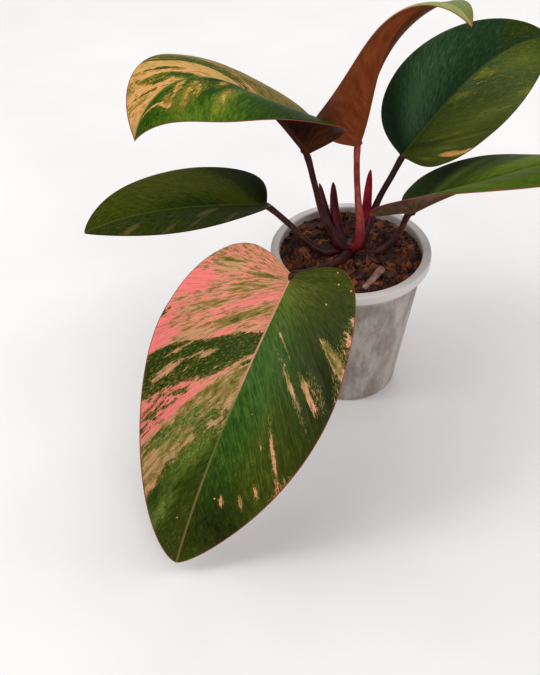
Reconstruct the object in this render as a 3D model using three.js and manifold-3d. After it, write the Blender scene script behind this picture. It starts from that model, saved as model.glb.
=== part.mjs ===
import * as THREE from 'three';
import { mergeVertices } from 'three/addons/utils/BufferGeometryUtils.js';
import Module from 'manifold-3d';

const wasm = await Module();
wasm.setup();

// A variegated philodendron in a nursery pot. Lengths are in millimetres and angles in degrees.
// The pot stands on z = 0 with its axis on Z, and the plant is seen from -Y.

// Clearance between pieces that touch on the real plant
const gap = 0.3;

// Pot: thin moulded plastic with a flat floor and a rim that is rolled out and down
const potHeight = 96.6;
const rimRadius = 47.5;
const rimDepth = 5.4;
const rimWall = 1.2;
const rimRounding = 1;
const mouthRadius = 42.3;
const potWall = 1.3;
const footRadius = 31;
const footRounding = 2.2;
const potFloor = 1.5;
const potSides = 40;
const drainHoles = 6;
const drainHoleRadius = 2.4;
const drainHoleSides = 12;
const drainCircleRadius = 20;

// Soil: coarse coir and bark, heaped a little in the middle, with loose chips on top
const soilEdgeHeight = 90.5;
const soilCrownHeight = 97.5;
const soilShoulderDepth = 3;
const soilBottomHeight = 2.7;
const soilRings = 10;
const soilSeed = 41;
const soilLumps = 34;
const soilLumpHeight = [1.04, 2.6];
const soilLumpReach = [4, 8];
const soilChips = 44;
const chipLength = [5, 10];
const chipWidth = [3, 6];
const chipHeight = [2, 3.6];
const chipTilt = 0.45;
const chipLift = 0.6;
const chipFromWall = 6;

// Stem: the short crown that every stalk grows from
const stemAxis = [-1, -4];
const stemBottom = 56;
const stemTop = 106;
const stemRadius = 6.4;
const stemSides = 16;
// The stem's outline, as shares of its height and of its radius
const stemOutline = [[0.04, 0.6], [0.3, 0.95], [0.6, 1.05], [0.85, 1], [0.96, 0.7]];

// Leaf blades
const bladeThickness = 0.8;
const ribDepth = 1.7;
const ribWidth = 2.2;
const ribFade = 0.75;
const bladeRows = 16;
const bladeColumns = [0.05, 0.25, 0.5, 0.78, 1];
const midribSteps = 60;
const curlPieces = 6;

// The margin's sweep carries the side veins' ends towards the tip. The heart-shaped base ends at lobeEnd.
const marginSweep = 1.56;
const lobeEnd = 0.41;
const lobeSkew = 0.8;

// Side veins: how far up the midrib they start, how they bend forwards, and how they crowd at the midrib
const veinSpread = 0.06;
const veinSweep = 2.5;
const veinBend = 1.4;
const veinCrowding = 0.9;

// Each blade is described from the top of its stalk, base, along the midrib to its tip.
// heading is the midrib's direction seen from above, from +X towards +Y, and climb its rise above level.
// Both change along the leaf: turn and bend by that much at the tip, turnLate and droop mostly near it.
// roll tips the blade about its midrib, and twist and twistLate change that towards the tip.
// Each half leaves the midrib at its fold angle, and bends by its curl on the way to the margin.
// Both are given at the stalk and at the tip, and fade says how soon the tip's values take over.
// A small fullness makes the blade broad soon after the stalk, and a large pointing draws out its tip.
// leftLobe and rightLobe are how far the two sides of its heart-shaped base reach back past the stalk, as
// shares of the length.
const leaves = [
  {
    name: 'front',
    base: [-36.4, -58.1, 122.8],
    length: 167,
    leftWidth: 55,
    rightWidth: 54.5,
    heading: -122,
    turn: -5,
    turnLate: 6,
    climb: -34,
    bend: -13,
    droop: -9,
    roll: -7,
    twist: -24,
    twistLate: 5,
    leftFold: [16.4, 3.6],
    rightFold: [9.8, 20.6],
    leftCurl: [6.4, 33.3],
    rightCurl: [7.8, 55],
    fade: 1,
    leftLobe: 0.104,
    rightLobe: 0.081,
    fullness: 0.7,
    pointing: 0,
    colour: 0x6f6a3a,
    stalk: [[-4, -12, 99.5], [-11, -25, 104.5], [-20, -36, 109.5], [-29, -48, 116]],
    stalkColour: 0x5a3026,
  },
  {
    name: 'upper_left',
    base: [-25, 13.5, 153],
    length: 138,
    leftWidth: 53.6,
    rightWidth: 50.4,
    heading: 165,
    turn: 80,
    turnLate: -10,
    climb: 52,
    bend: 28,
    droop: -151,
    roll: 19,
    twist: -30,
    twistLate: -8,
    leftFold: [85.8, -18.6],
    rightFold: [35.9, 4.2],
    leftCurl: [-79.2, 10],
    rightCurl: [-44.3, -38],
    fade: 2.2,
    leftLobe: 0.029,
    rightLobe: 0.02,
    fullness: 0.7,
    pointing: 0.39,
    colour: 0x5b7a2c,
    stalk: [[-7, -4.5, 102], [-13, -1, 112], [-18, 3, 123], [-22, 8.5, 138]],
    stalkColour: 0x4a201c,
  },
  {
    name: 'left',
    base: [-49.1, 7.9, 123.3],
    length: 108,
    leftWidth: 34.7,
    rightWidth: 38.3,
    heading: 190.5,
    turn: 17.5,
    turnLate: 0,
    climb: 7,
    bend: 15,
    droop: -32,
    roll: 6,
    twist: -21,
    twistLate: 0,
    leftFold: [27.2, 13.5],
    rightFold: [22.5, 12.2],
    leftCurl: [-7, -16.1],
    rightCurl: [-19.3, -59.6],
    fade: 1,
    leftLobe: 0.02,
    rightLobe: 0.047,
    fullness: 0.66,
    pointing: 0.14,
    colour: 0x2f3d1c,
    stalk: [[-10, -5.5, 98.5], [-17.5, -6.5, 99.5], [-27, -3.5, 105], [-36, 1.4, 113]],
    stalkColour: 0x3d221c,
  },
  {
    name: 'centre',
    base: [2.9, 26.5, 149.7],
    length: 137,
    leftWidth: 39.5,
    rightWidth: 37,
    heading: 4,
    turn: -36,
    turnLate: -38,
    climb: 71,
    bend: 88,
    droop: -193,
    roll: -43,
    twist: 40.5,
    twistLate: -20,
    leftFold: [43, 9],
    rightFold: [45, -1],
    leftCurl: [51, 5],
    rightCurl: [27, -52],
    fade: 2.9,
    leftLobe: 0.03,
    rightLobe: 0.03,
    fullness: 0.6,
    pointing: 0.35,
    colour: 0x7d3a17,
    stalk: [[3.5, -5, 103], [4.8, -0.5, 113], [3.9, 6.5, 123], [3.2, 16.5, 137]],
    stalkColour: 0x8a2a24,
  },
  {
    name: 'back_right',
    base: [30.5, 30, 140.2],
    length: 139,
    leftWidth: 35.3,
    rightWidth: 42.4,
    heading: 54,
    turn: -25,
    turnLate: 0,
    climb: 13,
    bend: 53,
    droop: -80,
    roll: 5,
    twist: 18,
    twistLate: 0,
    leftFold: [49.7, 13.3],
    rightFold: [11.6, 0.8],
    leftCurl: [-15, -12.7],
    rightCurl: [17.3, 14],
    fade: 1,
    leftLobe: 0.02,
    rightLobe: 0.066,
    fullness: 0.62,
    pointing: 0,
    colour: 0x2b4420,
    stalk: [[5.5, -0.5, 101.5], [10, 5.5, 109], [17, 15, 121.5], [24.5, 23, 131.5]],
    stalkColour: 0x3a1e1a,
  },
  {
    name: 'right',
    base: [30.8, -5.1, 124.1],
    length: 149,
    leftWidth: 48,
    rightWidth: 43,
    heading: -17,
    turn: 27,
    turnLate: 0,
    climb: 41,
    bend: -48.5,
    droop: 5,
    roll: -12,
    twist: -13,
    twistLate: 0,
    leftFold: [12, -5],
    rightFold: [37, -18],
    leftCurl: [1, -38],
    rightCurl: [-15, -25],
    fade: 1,
    leftLobe: 0.106,
    rightLobe: 0.106,
    fullness: 0.6,
    pointing: 0.35,
    colour: 0x3f5a22,
    stalk: [[7.5, -7, 98.5], [14, -9.5, 100.5], [21, -9.5, 105.5], [27, -8, 113]],
    stalkColour: 0x4a2a20,
  },
];

// Stalks: thick where they leave the stem, round and slender at the blade
const stalkTopRadius = 1.8;
const stalkFootRadius = 3.8;
const stalkTaperEnd = 0.6;
const stalkTaperBend = 1.5;
const stalkRootDepth = 3;
const stalkSides = 9;
const stalkSteps = 14;

// Red pointed sheaths around the youngest stalk, as points from foot to tip
const sheathSides = 8;
const sheathSteps = 9;
const sheathPoint = 0.12;
const sheathWaist = 0.75;
const sheathBelly = 0.2;
const sheaths = [
  {
    name: 'bright',
    width: 3.7,
    depth: 2,
    colour: 0x8e1525,
    points: [[5, -1.5, 99], [8.5, 4.5, 106], [10, 11, 116], [10.7, 16, 126], [11.6, 20.7, 137.3]],
  },
  {
    name: 'dark_long',
    width: 4.2,
    depth: 1.9,
    colour: 0x5c1620,
    points: [[-3.5, 0.5, 99], [-7, 4.5, 105], [-9.8, 9, 114.5], [-10.6, 13, 122.5], [-10.4, 17, 131.6]],
  },
  {
    name: 'dark_short',
    width: 3.8,
    depth: 1.8,
    colour: 0x541820,
    points: [[-7, -1.5, 99], [-10.5, 1.5, 105], [-14.5, 7, 115], [-17, 10.5, 124], [-18.6, 13.5, 133.3]],
  },
];

// Bare root stub that lies in the soil near the rim
const stub = [[5, -36.5, 94.5], [9.5, -31, 96], [13.5, -26.5, 97.5], [17, -22.5, 98.6]];
const stubRadius = 2.3;
const stubFootShare = 0.75;
const stubSides = 9;
const stubSteps = 6;

// How rough each surface is, from 0 for a mirror to 1 for chalk, and the colours of what isn't a leaf
const finishes = {
  blade: 0.35, sheath: 0.4, stalk: 0.45, pot: 0.5, stem: 0.7, root: 0.8, soil: 0.95,
};
const stemColour = 0x4a2c20;
const stubColour = 0xa5897d;
const soilColour = 0x5a2f1c;
const potColour = 0xb9b4b0;

// A repeatable random number from 0 to 1
function randomSource(seed) {
  let state = seed;
  return () => {
    state = (state * 1664525 + 1013904223) % 4294967296;
    return state / 4294967296;
  };
}

// Turn a closed geometry into a solid that can be cut and joined
function solidOf(geometry) {
  const bare = geometry.clone();
  bare.deleteAttribute('normal');
  bare.deleteAttribute('uv');
  const merged = mergeVertices(bare, 1e-4);
  return new wasm.Manifold(new wasm.Mesh({
    numProp: 3,
    vertProperties: new Float32Array(merged.attributes.position.array),
    triVerts: new Uint32Array(merged.index.array),
  }));
}

// Turn the largest single body of a solid back into a geometry
function geometryOf(solid) {
  const bodies = solid.decompose();
  bodies.sort((a, b) => b.volume() - a.volume());
  const mesh = bodies[0].getMesh();
  const geometry = new THREE.BufferGeometry();
  geometry.setAttribute('position', new THREE.BufferAttribute(Float32Array.from(mesh.vertProperties), 3));
  geometry.setIndex(new THREE.BufferAttribute(Uint32Array.from(mesh.triVerts), 1));
  geometry.computeVertexNormals();
  return geometry;
}

function indexedGeometry(points, triangles) {
  const geometry = new THREE.BufferGeometry();
  geometry.setFromPoints(points);
  geometry.setIndex(triangles);
  return geometry;
}

// Revolve a profile of [radius, height] pairs, listed upwards on the outside, about the Z axis
function turned(profile, sides) {
  const points = profile.map(([radius, height]) => new THREE.Vector2(radius, height));
  const geometry = new THREE.LatheGeometry(points, sides);
  geometry.rotateX(Math.PI / 2);
  return geometry;
}

// A closed tube of changing oval section along a smooth curve through points
function stalkTube(points, halfWidthAt, halfDepthAt, sides, steps) {
  const curve = new THREE.CatmullRomCurve3(points.map((p) => new THREE.Vector3(...p)), false, 'centripetal');
  const rings = [];
  for (let i = 0; i <= steps; i++) {
    const t = i / steps;
    const centre = curve.getPointAt(t);
    const along = curve.getTangentAt(t);
    const across = new THREE.Vector3(0, -1, 0).cross(along).normalize();
    const out = along.clone().cross(across).normalize();
    for (let k = 0; k < sides; k++) {
      const angle = (2 * Math.PI * k) / sides;
      rings.push(centre.clone()
        .addScaledVector(across, Math.cos(angle) * halfWidthAt(t))
        .addScaledVector(out, Math.sin(angle) * halfDepthAt(t)));
    }
  }
  const start = rings.push(curve.getPointAt(0)) - 1;
  const end = rings.push(curve.getPointAt(1)) - 1;
  const triangles = [];
  for (let k = 0; k < sides; k++) {
    const next = (k + 1) % sides;
    const last = steps * sides;
    triangles.push(start, next, k);
    triangles.push(end, last + k, last + next);
    for (let i = 0; i < steps; i++) {
      const a = i * sides;
      const b = a + sides;
      triangles.push(a + k, a + next, b + next);
      triangles.push(a + k, b + next, b + k);
    }
  }
  return indexedGeometry(rings, triangles);
}

// Follow a leaf's midrib from stalk to tip and note its place and directions on the way
function midribOf(leaf) {
  const steps = midribSteps;
  const rad = THREE.MathUtils.degToRad;
  const stations = [];
  const point = new THREE.Vector3(...leaf.base);
  for (let i = 0; i <= steps; i++) {
    const s = i / steps;
    const heading = rad(leaf.heading + leaf.turn * s + leaf.turnLate * s * s);
    const climb = rad(leaf.climb + leaf.bend * s + leaf.droop * s * s);
    const roll = rad(leaf.roll + leaf.twist * s + leaf.twistLate * s * s);
    const along = new THREE.Vector3(
      Math.cos(climb) * Math.cos(heading),
      Math.cos(climb) * Math.sin(heading),
      Math.sin(climb),
    );
    const level = new THREE.Vector3(-Math.sin(heading), Math.cos(heading), 0);
    const upright = along.clone().cross(level);
    const left = level.clone().multiplyScalar(Math.cos(roll)).addScaledVector(upright, Math.sin(roll));
    const up = upright.clone().multiplyScalar(Math.cos(roll)).addScaledVector(level, -Math.sin(roll));
    if (i > 0) {
      const middle = stations[i - 1].along.clone().add(along);
      point.addScaledVector(middle, leaf.length / steps / 2);
    }
    stations.push({ point: point.clone(), along, left, up });
  }
  return stations;
}

// The point of a blade's upper face on the vein that starts at share tau of the leaf.
// v runs along the vein, from 0 on the midrib to 1 at the margin, and side is +1 left or -1 right.
function bladePoint(leaf, midrib, side, tau, v) {
  const outline = Math.max(0, Math.sin(Math.PI * tau)) ** (leaf.fullness + leaf.pointing * tau ** 3);
  const reach = side > 0 ? leaf.leftLobe : leaf.rightLobe;
  const lobe = reach * Math.sin(Math.PI * Math.min(1, tau / lobeEnd) ** lobeSkew);
  const marginAt = tau ** marginSweep - lobe;
  const veinStart = veinSpread * tau + (1 - veinSpread) * tau ** veinSweep;
  const at = veinStart + (marginAt - veinStart) * v ** veinBend;
  const share = outline * v ** veinCrowding;
  const halfWidth = side > 0 ? leaf.leftWidth : leaf.rightWidth;
  const fold = side > 0 ? leaf.leftFold : leaf.rightFold;
  const curl = side > 0 ? leaf.leftCurl : leaf.rightCurl;
  const place = Math.min(1, Math.max(0, at));
  const weight = (1 - place) ** leaf.fade;
  const foldHere = fold[1] + (fold[0] - fold[1]) * weight;
  const curlHere = curl[1] + (curl[0] - curl[1]) * weight;
  let out = 0;
  let rise = 0;
  for (let k = 0; k < curlPieces; k++) {
    const angle = THREE.MathUtils.degToRad(foldHere + (curlHere * share * (k + 0.5)) / curlPieces);
    out += (Math.cos(angle) * share * halfWidth) / curlPieces;
    rise += (Math.sin(angle) * share * halfWidth) / curlPieces;
  }
  const position = place * (midrib.length - 1);
  const before = Math.min(midrib.length - 2, Math.floor(position));
  const part = position - before;
  const a = midrib[before];
  const b = midrib[before + 1];
  const along = a.along.clone().lerp(b.along, part).normalize();
  const left = a.left.clone().lerp(b.left, part).normalize();
  const up = a.up.clone().lerp(b.up, part).normalize();
  return a.point.clone().lerp(b.point, part)
    .addScaledVector(along, Math.min(0, at) * leaf.length)
    .addScaledVector(left, side * out)
    .addScaledVector(up, rise);
}

// A blade as a closed solid: its upper face, a lower face with the midrib standing out, and the margin.
// grown makes it larger all round by that much, for cutting its stalk clear of it.
function blade(leaf, grown) {
  const midrib = midribOf(leaf);
  const top = [];
  const fromRib = [];
  const places = [];
  const add = (side, tau, v) => {
    top.push(bladePoint(leaf, midrib, side, tau, v));
    const halfWidth = side > 0 ? leaf.leftWidth : leaf.rightWidth;
    fromRib.push(v ** veinCrowding * Math.max(0, Math.sin(Math.PI * tau)) ** leaf.fullness * halfWidth);
    places.push(tau);
  };
  add(1, 0, 0);
  const count = bladeColumns.length;
  const perRow = 2 * count + 1;
  for (let i = 1; i < bladeRows; i++) {
    const tau = i / bladeRows;
    for (let j = count - 1; j >= 0; j--) add(-1, tau, bladeColumns[j]);
    add(1, tau, 0);
    for (let j = 0; j < count; j++) add(1, tau, bladeColumns[j]);
  }
  add(1, 1, 0);
  const tip = top.length - 1;
  const row = (i) => 1 + (i - 1) * perRow;
  const faces = [];
  for (let j = 0; j < perRow - 1; j++) {
    faces.push(0, row(1) + j, row(1) + j + 1);
    faces.push(row(bladeRows - 1) + j, tip, row(bladeRows - 1) + j + 1);
    for (let i = 1; i < bladeRows - 1; i++) {
      faces.push(row(i) + j, row(i + 1) + j, row(i + 1) + j + 1);
      faces.push(row(i) + j, row(i + 1) + j + 1, row(i) + j + 1);
    }
  }
  const sheet = indexedGeometry(top, faces);
  sheet.computeVertexNormals();
  const normals = top.map((_, k) => new THREE.Vector3().fromBufferAttribute(sheet.attributes.normal, k));
  const margin = [0];
  for (let i = 1; i < bladeRows; i++) margin.push(row(i) + perRow - 1);
  margin.push(tip);
  for (let i = bladeRows - 1; i > 0; i--) margin.push(row(i));
  const outward = top.map(() => new THREE.Vector3());
  outward[0].copy(midrib[0].along).negate();
  outward[tip].copy(midrib[midrib.length - 1].along);
  for (let i = 1; i < bladeRows; i++) {
    const first = row(i);
    const last = first + perRow - 1;
    outward[first].subVectors(top[first], top[first + 1]).normalize();
    outward[last].subVectors(top[last], top[last - 1]).normalize();
  }
  const moved = (k, rise) => top[k].clone()
    .addScaledVector(normals[k], rise)
    .addScaledVector(outward[k], grown);
  const upper = top.map((_, k) => moved(k, grown));
  const lower = top.map((_, k) => {
    const rib = ribDepth * (1 - ribFade * places[k]) * Math.exp(-((fromRib[k] / ribWidth) ** 2));
    return moved(k, -bladeThickness - rib - grown);
  });
  const total = top.length;
  const triangles = [...faces];
  for (let f = 0; f < faces.length; f += 3) {
    triangles.push(faces[f] + total, faces[f + 2] + total, faces[f + 1] + total);
  }
  margin.forEach((a, k) => {
    const b = margin[(k + 1) % margin.length];
    triangles.push(a, b, b + total);
    triangles.push(a, b + total, a + total);
  });
  return indexedGeometry([...upper, ...lower], triangles);
}

// The pot, turned in one piece, with drainage holes through its floor
function pot() {
  const lip = rimRadius - rimWall;
  const underRim = potHeight - rimDepth;
  const geometry = turned([
    [0, 0],
    [footRadius - footRounding, 0],
    [footRadius - footRounding / 3, footRounding / 3],
    [footRadius, footRounding],
    [mouthRadius + potWall, underRim],
    [mouthRadius + potWall, potHeight - rimWall],
    [lip, potHeight - rimWall],
    [lip, underRim],
    [rimRadius, underRim],
    [rimRadius, potHeight - rimRounding],
    [rimRadius - rimRounding, potHeight],
    [mouthRadius + rimRounding, potHeight],
    [mouthRadius, potHeight - rimRounding],
    [mouthRadius, underRim],
    [footRadius - potWall, footRounding],
    [footRadius - potWall - 1, potFloor],
    [0, potFloor],
  ], potSides);
  let solid = solidOf(geometry);
  for (let k = 0; k < drainHoles; k++) {
    const angle = (2 * Math.PI * (k + 0.5)) / drainHoles;
    const hole = new THREE.CylinderGeometry(drainHoleRadius, drainHoleRadius, 3 * potFloor, drainHoleSides);
    hole.rotateX(Math.PI / 2);
    hole.translate(drainCircleRadius * Math.cos(angle), drainCircleRadius * Math.sin(angle), potFloor / 2);
    solid = solid.subtract(solidOf(hole));
  }
  return solid;
}

// The soil's height before chips are laid on it, with soft lumps of seeded place and size
const soilRandom = randomSource(soilSeed);
const between = ([low, high]) => low + (high - low) * soilRandom();
const lumps = Array.from({ length: soilLumps }, () => ({
  angle: soilRandom() * 2 * Math.PI,
  radius: Math.sqrt(soilRandom()) * mouthRadius,
  reach: between(soilLumpReach),
  height: between(soilLumpHeight),
}));
function soilHeight(x, y) {
  const share = Math.min(1, Math.hypot(x, y) / mouthRadius);
  let height = soilEdgeHeight + (soilCrownHeight - soilEdgeHeight) * (1 - share * share);
  for (const lump of lumps) {
    const fromX = x - lump.radius * Math.cos(lump.angle);
    const fromY = y - lump.radius * Math.sin(lump.angle);
    const distance = Math.hypot(fromX, fromY);
    if (distance < lump.reach) height += lump.height * Math.cos((distance / lump.reach) * Math.PI / 2) ** 2;
  }
  return height;
}

// The soil body fills the pot, and its chips are sunk into the top
function soil() {
  const wallRadius = (height) => {
    const rise = (height - footRounding) / (potHeight - rimDepth - footRounding);
    return footRadius - potWall + (mouthRadius - footRadius + potWall) * Math.min(1, rise) - gap;
  };
  const points = [new THREE.Vector3(0, 0, soilHeight(0, 0))];
  const ring = (radius, heightAt) => {
    for (let k = 0; k < potSides; k++) {
      const angle = (2 * Math.PI * k) / potSides;
      const x = radius * Math.sin(angle);
      const y = -radius * Math.cos(angle);
      points.push(new THREE.Vector3(x, y, heightAt(x, y)));
    }
  };
  const topRadius = wallRadius(soilEdgeHeight);
  for (let i = 1; i <= soilRings; i++) ring((topRadius * i) / soilRings, soilHeight);
  const shoulder = soilEdgeHeight - soilShoulderDepth;
  ring(wallRadius(shoulder), () => shoulder);
  ring(wallRadius(soilBottomHeight), () => soilBottomHeight);
  const triangles = [];
  for (let k = 0; k < potSides; k++) {
    const next = (k + 1) % potSides;
    triangles.push(0, 1 + k, 1 + next);
    for (let i = 0; i < soilRings + 1; i++) {
      const a = 1 + i * potSides;
      const b = a + potSides;
      triangles.push(a + k, b + k, b + next);
      triangles.push(a + k, b + next, a + next);
    }
  }
  const base = points.push(new THREE.Vector3(0, 0, soilBottomHeight)) - 1;
  const last = 1 + (soilRings + 1) * potSides;
  for (let k = 0; k < potSides; k++) triangles.push(base, last + ((k + 1) % potSides), last + k);
  let solid = solidOf(indexedGeometry(points, triangles));
  for (let k = 0; k < soilChips; k++) {
    const angle = soilRandom() * 2 * Math.PI;
    const radius = Math.sqrt(soilRandom()) * (topRadius - chipFromWall);
    const x = radius * Math.cos(angle);
    const y = radius * Math.sin(angle);
    const chip = new THREE.BoxGeometry(between(chipLength), between(chipWidth), between(chipHeight));
    chip.rotateX(between([-chipTilt, chipTilt]));
    chip.rotateY(between([-chipTilt, chipTilt]));
    chip.rotateZ(soilRandom() * Math.PI);
    chip.translate(x, y, soilHeight(x, y) + chipLift);
    solid = solid.add(solidOf(chip));
  }
  return solid;
}

// The stem, larger all round by grown
function stem(grown) {
  const height = stemTop - stemBottom;
  const outline = stemOutline.map(([up, out]) => [out * stemRadius + grown, stemBottom + up * height]);
  const geometry = turned([[0, stemBottom - grown], ...outline, [0, stemTop + grown]], stemSides);
  geometry.translate(stemAxis[0], stemAxis[1], 0);
  return solidOf(geometry);
}

// A leaf's stalk, from inside the stem to just below the blade
function stalk(leaf, grown) {
  const foot = [stemAxis[0], stemAxis[1], leaf.stalk[0][2] - stalkRootDepth];
  const radiusAt = (t) => {
    const extra = stalkFootRadius - stalkTopRadius;
    return stalkTopRadius + extra * Math.max(0, 1 - t / stalkTaperEnd) ** stalkTaperBend + grown;
  };
  return solidOf(stalkTube([foot, ...leaf.stalk, leaf.base], radiusAt, radiusAt, stalkSides, stalkSteps));
}

// A pointed sheath, oval in section, that tapers to a sharp tip
function sheath(description) {
  const taper = (t) => sheathPoint + (1 - sheathPoint) * Math.sqrt(1 - t * t);
  const swell = (t) => sheathWaist + (1 - sheathWaist) * Math.sin(Math.PI * Math.min(1, t + sheathBelly));
  const widthAt = (t) => description.width * taper(t) * swell(t);
  const depthAt = (t) => description.depth * taper(t);
  return solidOf(stalkTube(description.points, widthAt, depthAt, sheathSides, sheathSteps));
}

const group = new THREE.Group();
function addMesh(name, solid, colour, roughness) {
  const material = new THREE.MeshStandardMaterial({ color: colour, roughness, metalness: 0 });
  const mesh = new THREE.Mesh(geometryOf(solid), material);
  mesh.name = name;
  group.add(mesh);
}

// Everything the soil has to stay clear of
const stemCutter = stem(gap);
const inSoil = [stemCutter];

// Blades, then their stalks, each cut clear of the stem, its blade and the stalks before it
const placed = [stemCutter];
for (const leaf of leaves) {
  addMesh(`blade_${leaf.name}`, solidOf(blade(leaf, 0)), leaf.colour, finishes.blade);
  let body = stalk(leaf, 0).subtract(solidOf(blade(leaf, gap)));
  for (const other of placed) body = body.subtract(other);
  addMesh(`petiole_${leaf.name}`, body, leaf.stalkColour, finishes.stalk);
  const cutter = stalk(leaf, gap);
  placed.push(cutter);
  inSoil.push(cutter);
}
for (const description of sheaths) {
  let body = sheath(description);
  for (const other of placed) body = body.subtract(other);
  addMesh(`sheath_${description.name}`, body, description.colour, finishes.sheath);
  const cutter = sheath({ ...description, width: description.width + gap, depth: description.depth + gap });
  placed.push(cutter);
  inSoil.push(cutter);
}
addMesh('stem', stem(0), stemColour, finishes.stem);

// The root stub, larger all round by grown
function rootStub(grown) {
  const radiusAt = (t) => stubRadius * (stubFootShare + (1 - stubFootShare) * t) + grown;
  return solidOf(stalkTube(stub, radiusAt, radiusAt, stubSides, stubSteps));
}
addMesh('root_stub', rootStub(0), stubColour, finishes.root);
inSoil.push(rootStub(gap));

let soilBody = soil();
for (const other of inSoil) soilBody = soilBody.subtract(other);
addMesh('soil', soilBody, soilColour, finishes.soil);
addMesh('pot', pot(), potColour, finishes.pot);

export default group;
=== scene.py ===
import math

import bpy
import numpy as np
from mathutils import Matrix, Vector
from mathutils.bvhtree import BVHTree


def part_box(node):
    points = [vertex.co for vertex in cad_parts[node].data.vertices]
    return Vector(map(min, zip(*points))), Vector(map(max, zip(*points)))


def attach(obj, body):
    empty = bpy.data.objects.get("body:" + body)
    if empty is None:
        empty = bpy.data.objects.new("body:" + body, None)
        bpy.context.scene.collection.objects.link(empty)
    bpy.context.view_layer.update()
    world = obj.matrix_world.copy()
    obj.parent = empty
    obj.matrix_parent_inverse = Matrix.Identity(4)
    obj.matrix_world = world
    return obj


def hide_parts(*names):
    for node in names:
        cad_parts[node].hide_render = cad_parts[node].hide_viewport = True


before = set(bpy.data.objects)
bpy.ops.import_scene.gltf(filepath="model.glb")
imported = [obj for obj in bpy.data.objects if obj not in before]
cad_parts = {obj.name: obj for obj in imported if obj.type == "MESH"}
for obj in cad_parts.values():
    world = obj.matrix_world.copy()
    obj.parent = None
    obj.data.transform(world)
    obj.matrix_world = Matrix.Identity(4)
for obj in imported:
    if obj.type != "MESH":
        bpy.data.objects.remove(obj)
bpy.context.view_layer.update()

# A potted, variegated philodendron. Sizes are written in millimetres and scaled to metres as each mesh is
# made. Colours are written as they look on a screen, with red, green and blue from 0 to 255.
MM = 0.001


# Nursery pot
# One thin moulded plastic pot, frosted grey-white, with the damp soil mottling its wall from behind.
# Its rim is rolled out and down over the wall, and round drainage holes go through its flat floor.

class Value:
    """A node's output. Its sums, products and powers are written as those of a number are."""

    def __init__(self, socket):
        self.socket = socket
        self.tree = socket.id_data

    def __add__(self, other):
        return maths("ADD", self, other)

    def __sub__(self, other):
        return maths("SUBTRACT", self, other)

    def __rsub__(self, other):
        return maths("SUBTRACT", other, self)

    def __mul__(self, other):
        return maths("MULTIPLY", self, other)

    def __truediv__(self, other):
        return maths("DIVIDE", self, other)

    def __pow__(self, other):
        return maths("POWER", self, other)


class Outputs:
    """A node whose outputs are taken by name or number."""

    def __init__(self, node):
        self.node = node

    def __getitem__(self, key):
        return Value(self.node.outputs[key])


def add_node(tree, kind, inputs=None, **options):
    """Add a node, set its options, fill or link its inputs, and return its outputs."""
    node = tree.nodes.new(kind)
    for option, value in options.items():
        setattr(node, option, value)
    for key, value in (inputs or {}).items():
        if isinstance(value, Value):
            tree.links.new(value.socket, node.inputs[key])
        else:
            node.inputs[key].default_value = value
    return Outputs(node)


def maths(operation, *values, clamp=False):
    tree = next(value.tree for value in values if isinstance(value, Value))
    return add_node(tree, "ShaderNodeMath", dict(enumerate(values)), operation=operation, use_clamp=clamp)[0]


def split(vector):
    """The three values of a vector or a colour."""
    parts = add_node(vector.tree, "ShaderNodeSeparateXYZ", {0: vector})
    return [parts[k] for k in range(3)]


def map_range(value, low, high, to_low=0.0, to_high=1.0, kind="SMOOTHSTEP"):
    """Carry a value from low to high over to another range. It stays within that range."""
    return add_node(value.tree, "ShaderNodeMapRange", {
        "Value": value, "From Min": low, "From Max": high, "To Min": to_low, "To Max": to_high,
    }, interpolation_type=kind)[0]


def tint(colour):
    """The linear values that a shader takes for a colour."""
    shares = (value / 255 for value in colour)
    return tuple(s / 12.92 if s < 0.04045 else ((s + 0.055) / 1.055) ** 2.4 for s in shares) + (1.0,)


def blend_colour(amount, low, high):
    """Two colours mixed by an amount. Each is either fixed or a node's output."""
    low, high = (colour if isinstance(colour, Value) else tint(colour) for colour in (low, high))
    return add_node(amount.tree, "ShaderNodeMix", {0: amount, 6: low, 7: high}, data_type="RGBA")[2]


def colour_ramp(value, places, colours):
    """Colours along a value, each at its own place from 0 to 1."""
    ramp = add_node(value.tree, "ShaderNodeValToRGB", {"Fac": value})
    elements = ramp.node.color_ramp.elements
    while len(elements) < len(places):
        elements.new(0.5)
    for element, place, colour in zip(elements, places, colours):
        element.position = place
        element.color = tint(colour)
    return ramp["Color"]


def grain(vector, scale, detail=3.0, roughness=0.55, shift=(0, 0, 0)):
    """Soft noise from 0 to 1 with its own scale along each axis of the coordinates."""
    placed = add_node(vector.tree, "ShaderNodeMapping", {
        "Vector": vector, "Location": shift, "Scale": scale})[0]
    return add_node(vector.tree, "ShaderNodeTexNoise", {
        "Vector": placed, "Scale": 1.0, "Detail": detail, "Roughness": roughness})["Fac"]


def bump(height, depth, strength=1.0):
    """Surface relief from a height of 0 to 1, standing depth millimetres deep."""
    return add_node(height.tree, "ShaderNodeBump", {
        "Height": height, "Distance": depth * MM, "Strength": strength})[0]


def new_finish(name, roughness=0.5, gloss=0.5):
    """An empty material. Returns it with its surface shader and the object's coordinates."""
    material = bpy.data.materials.new(name)
    material.use_nodes = True
    surface = material.node_tree.nodes["Principled BSDF"]
    surface.inputs["Roughness"].default_value = roughness
    surface.inputs["Specular IOR Level"].default_value = gloss
    return material, surface, add_node(material.node_tree, "ShaderNodeTexCoord")["Object"]


def connect(surface, **values):
    """Link values to the surface shader. An underscore in a name stands for a space."""
    for name, value in values.items():
        value.tree.links.new(value.socket, surface.inputs[name.replace("_", " ")])


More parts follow.
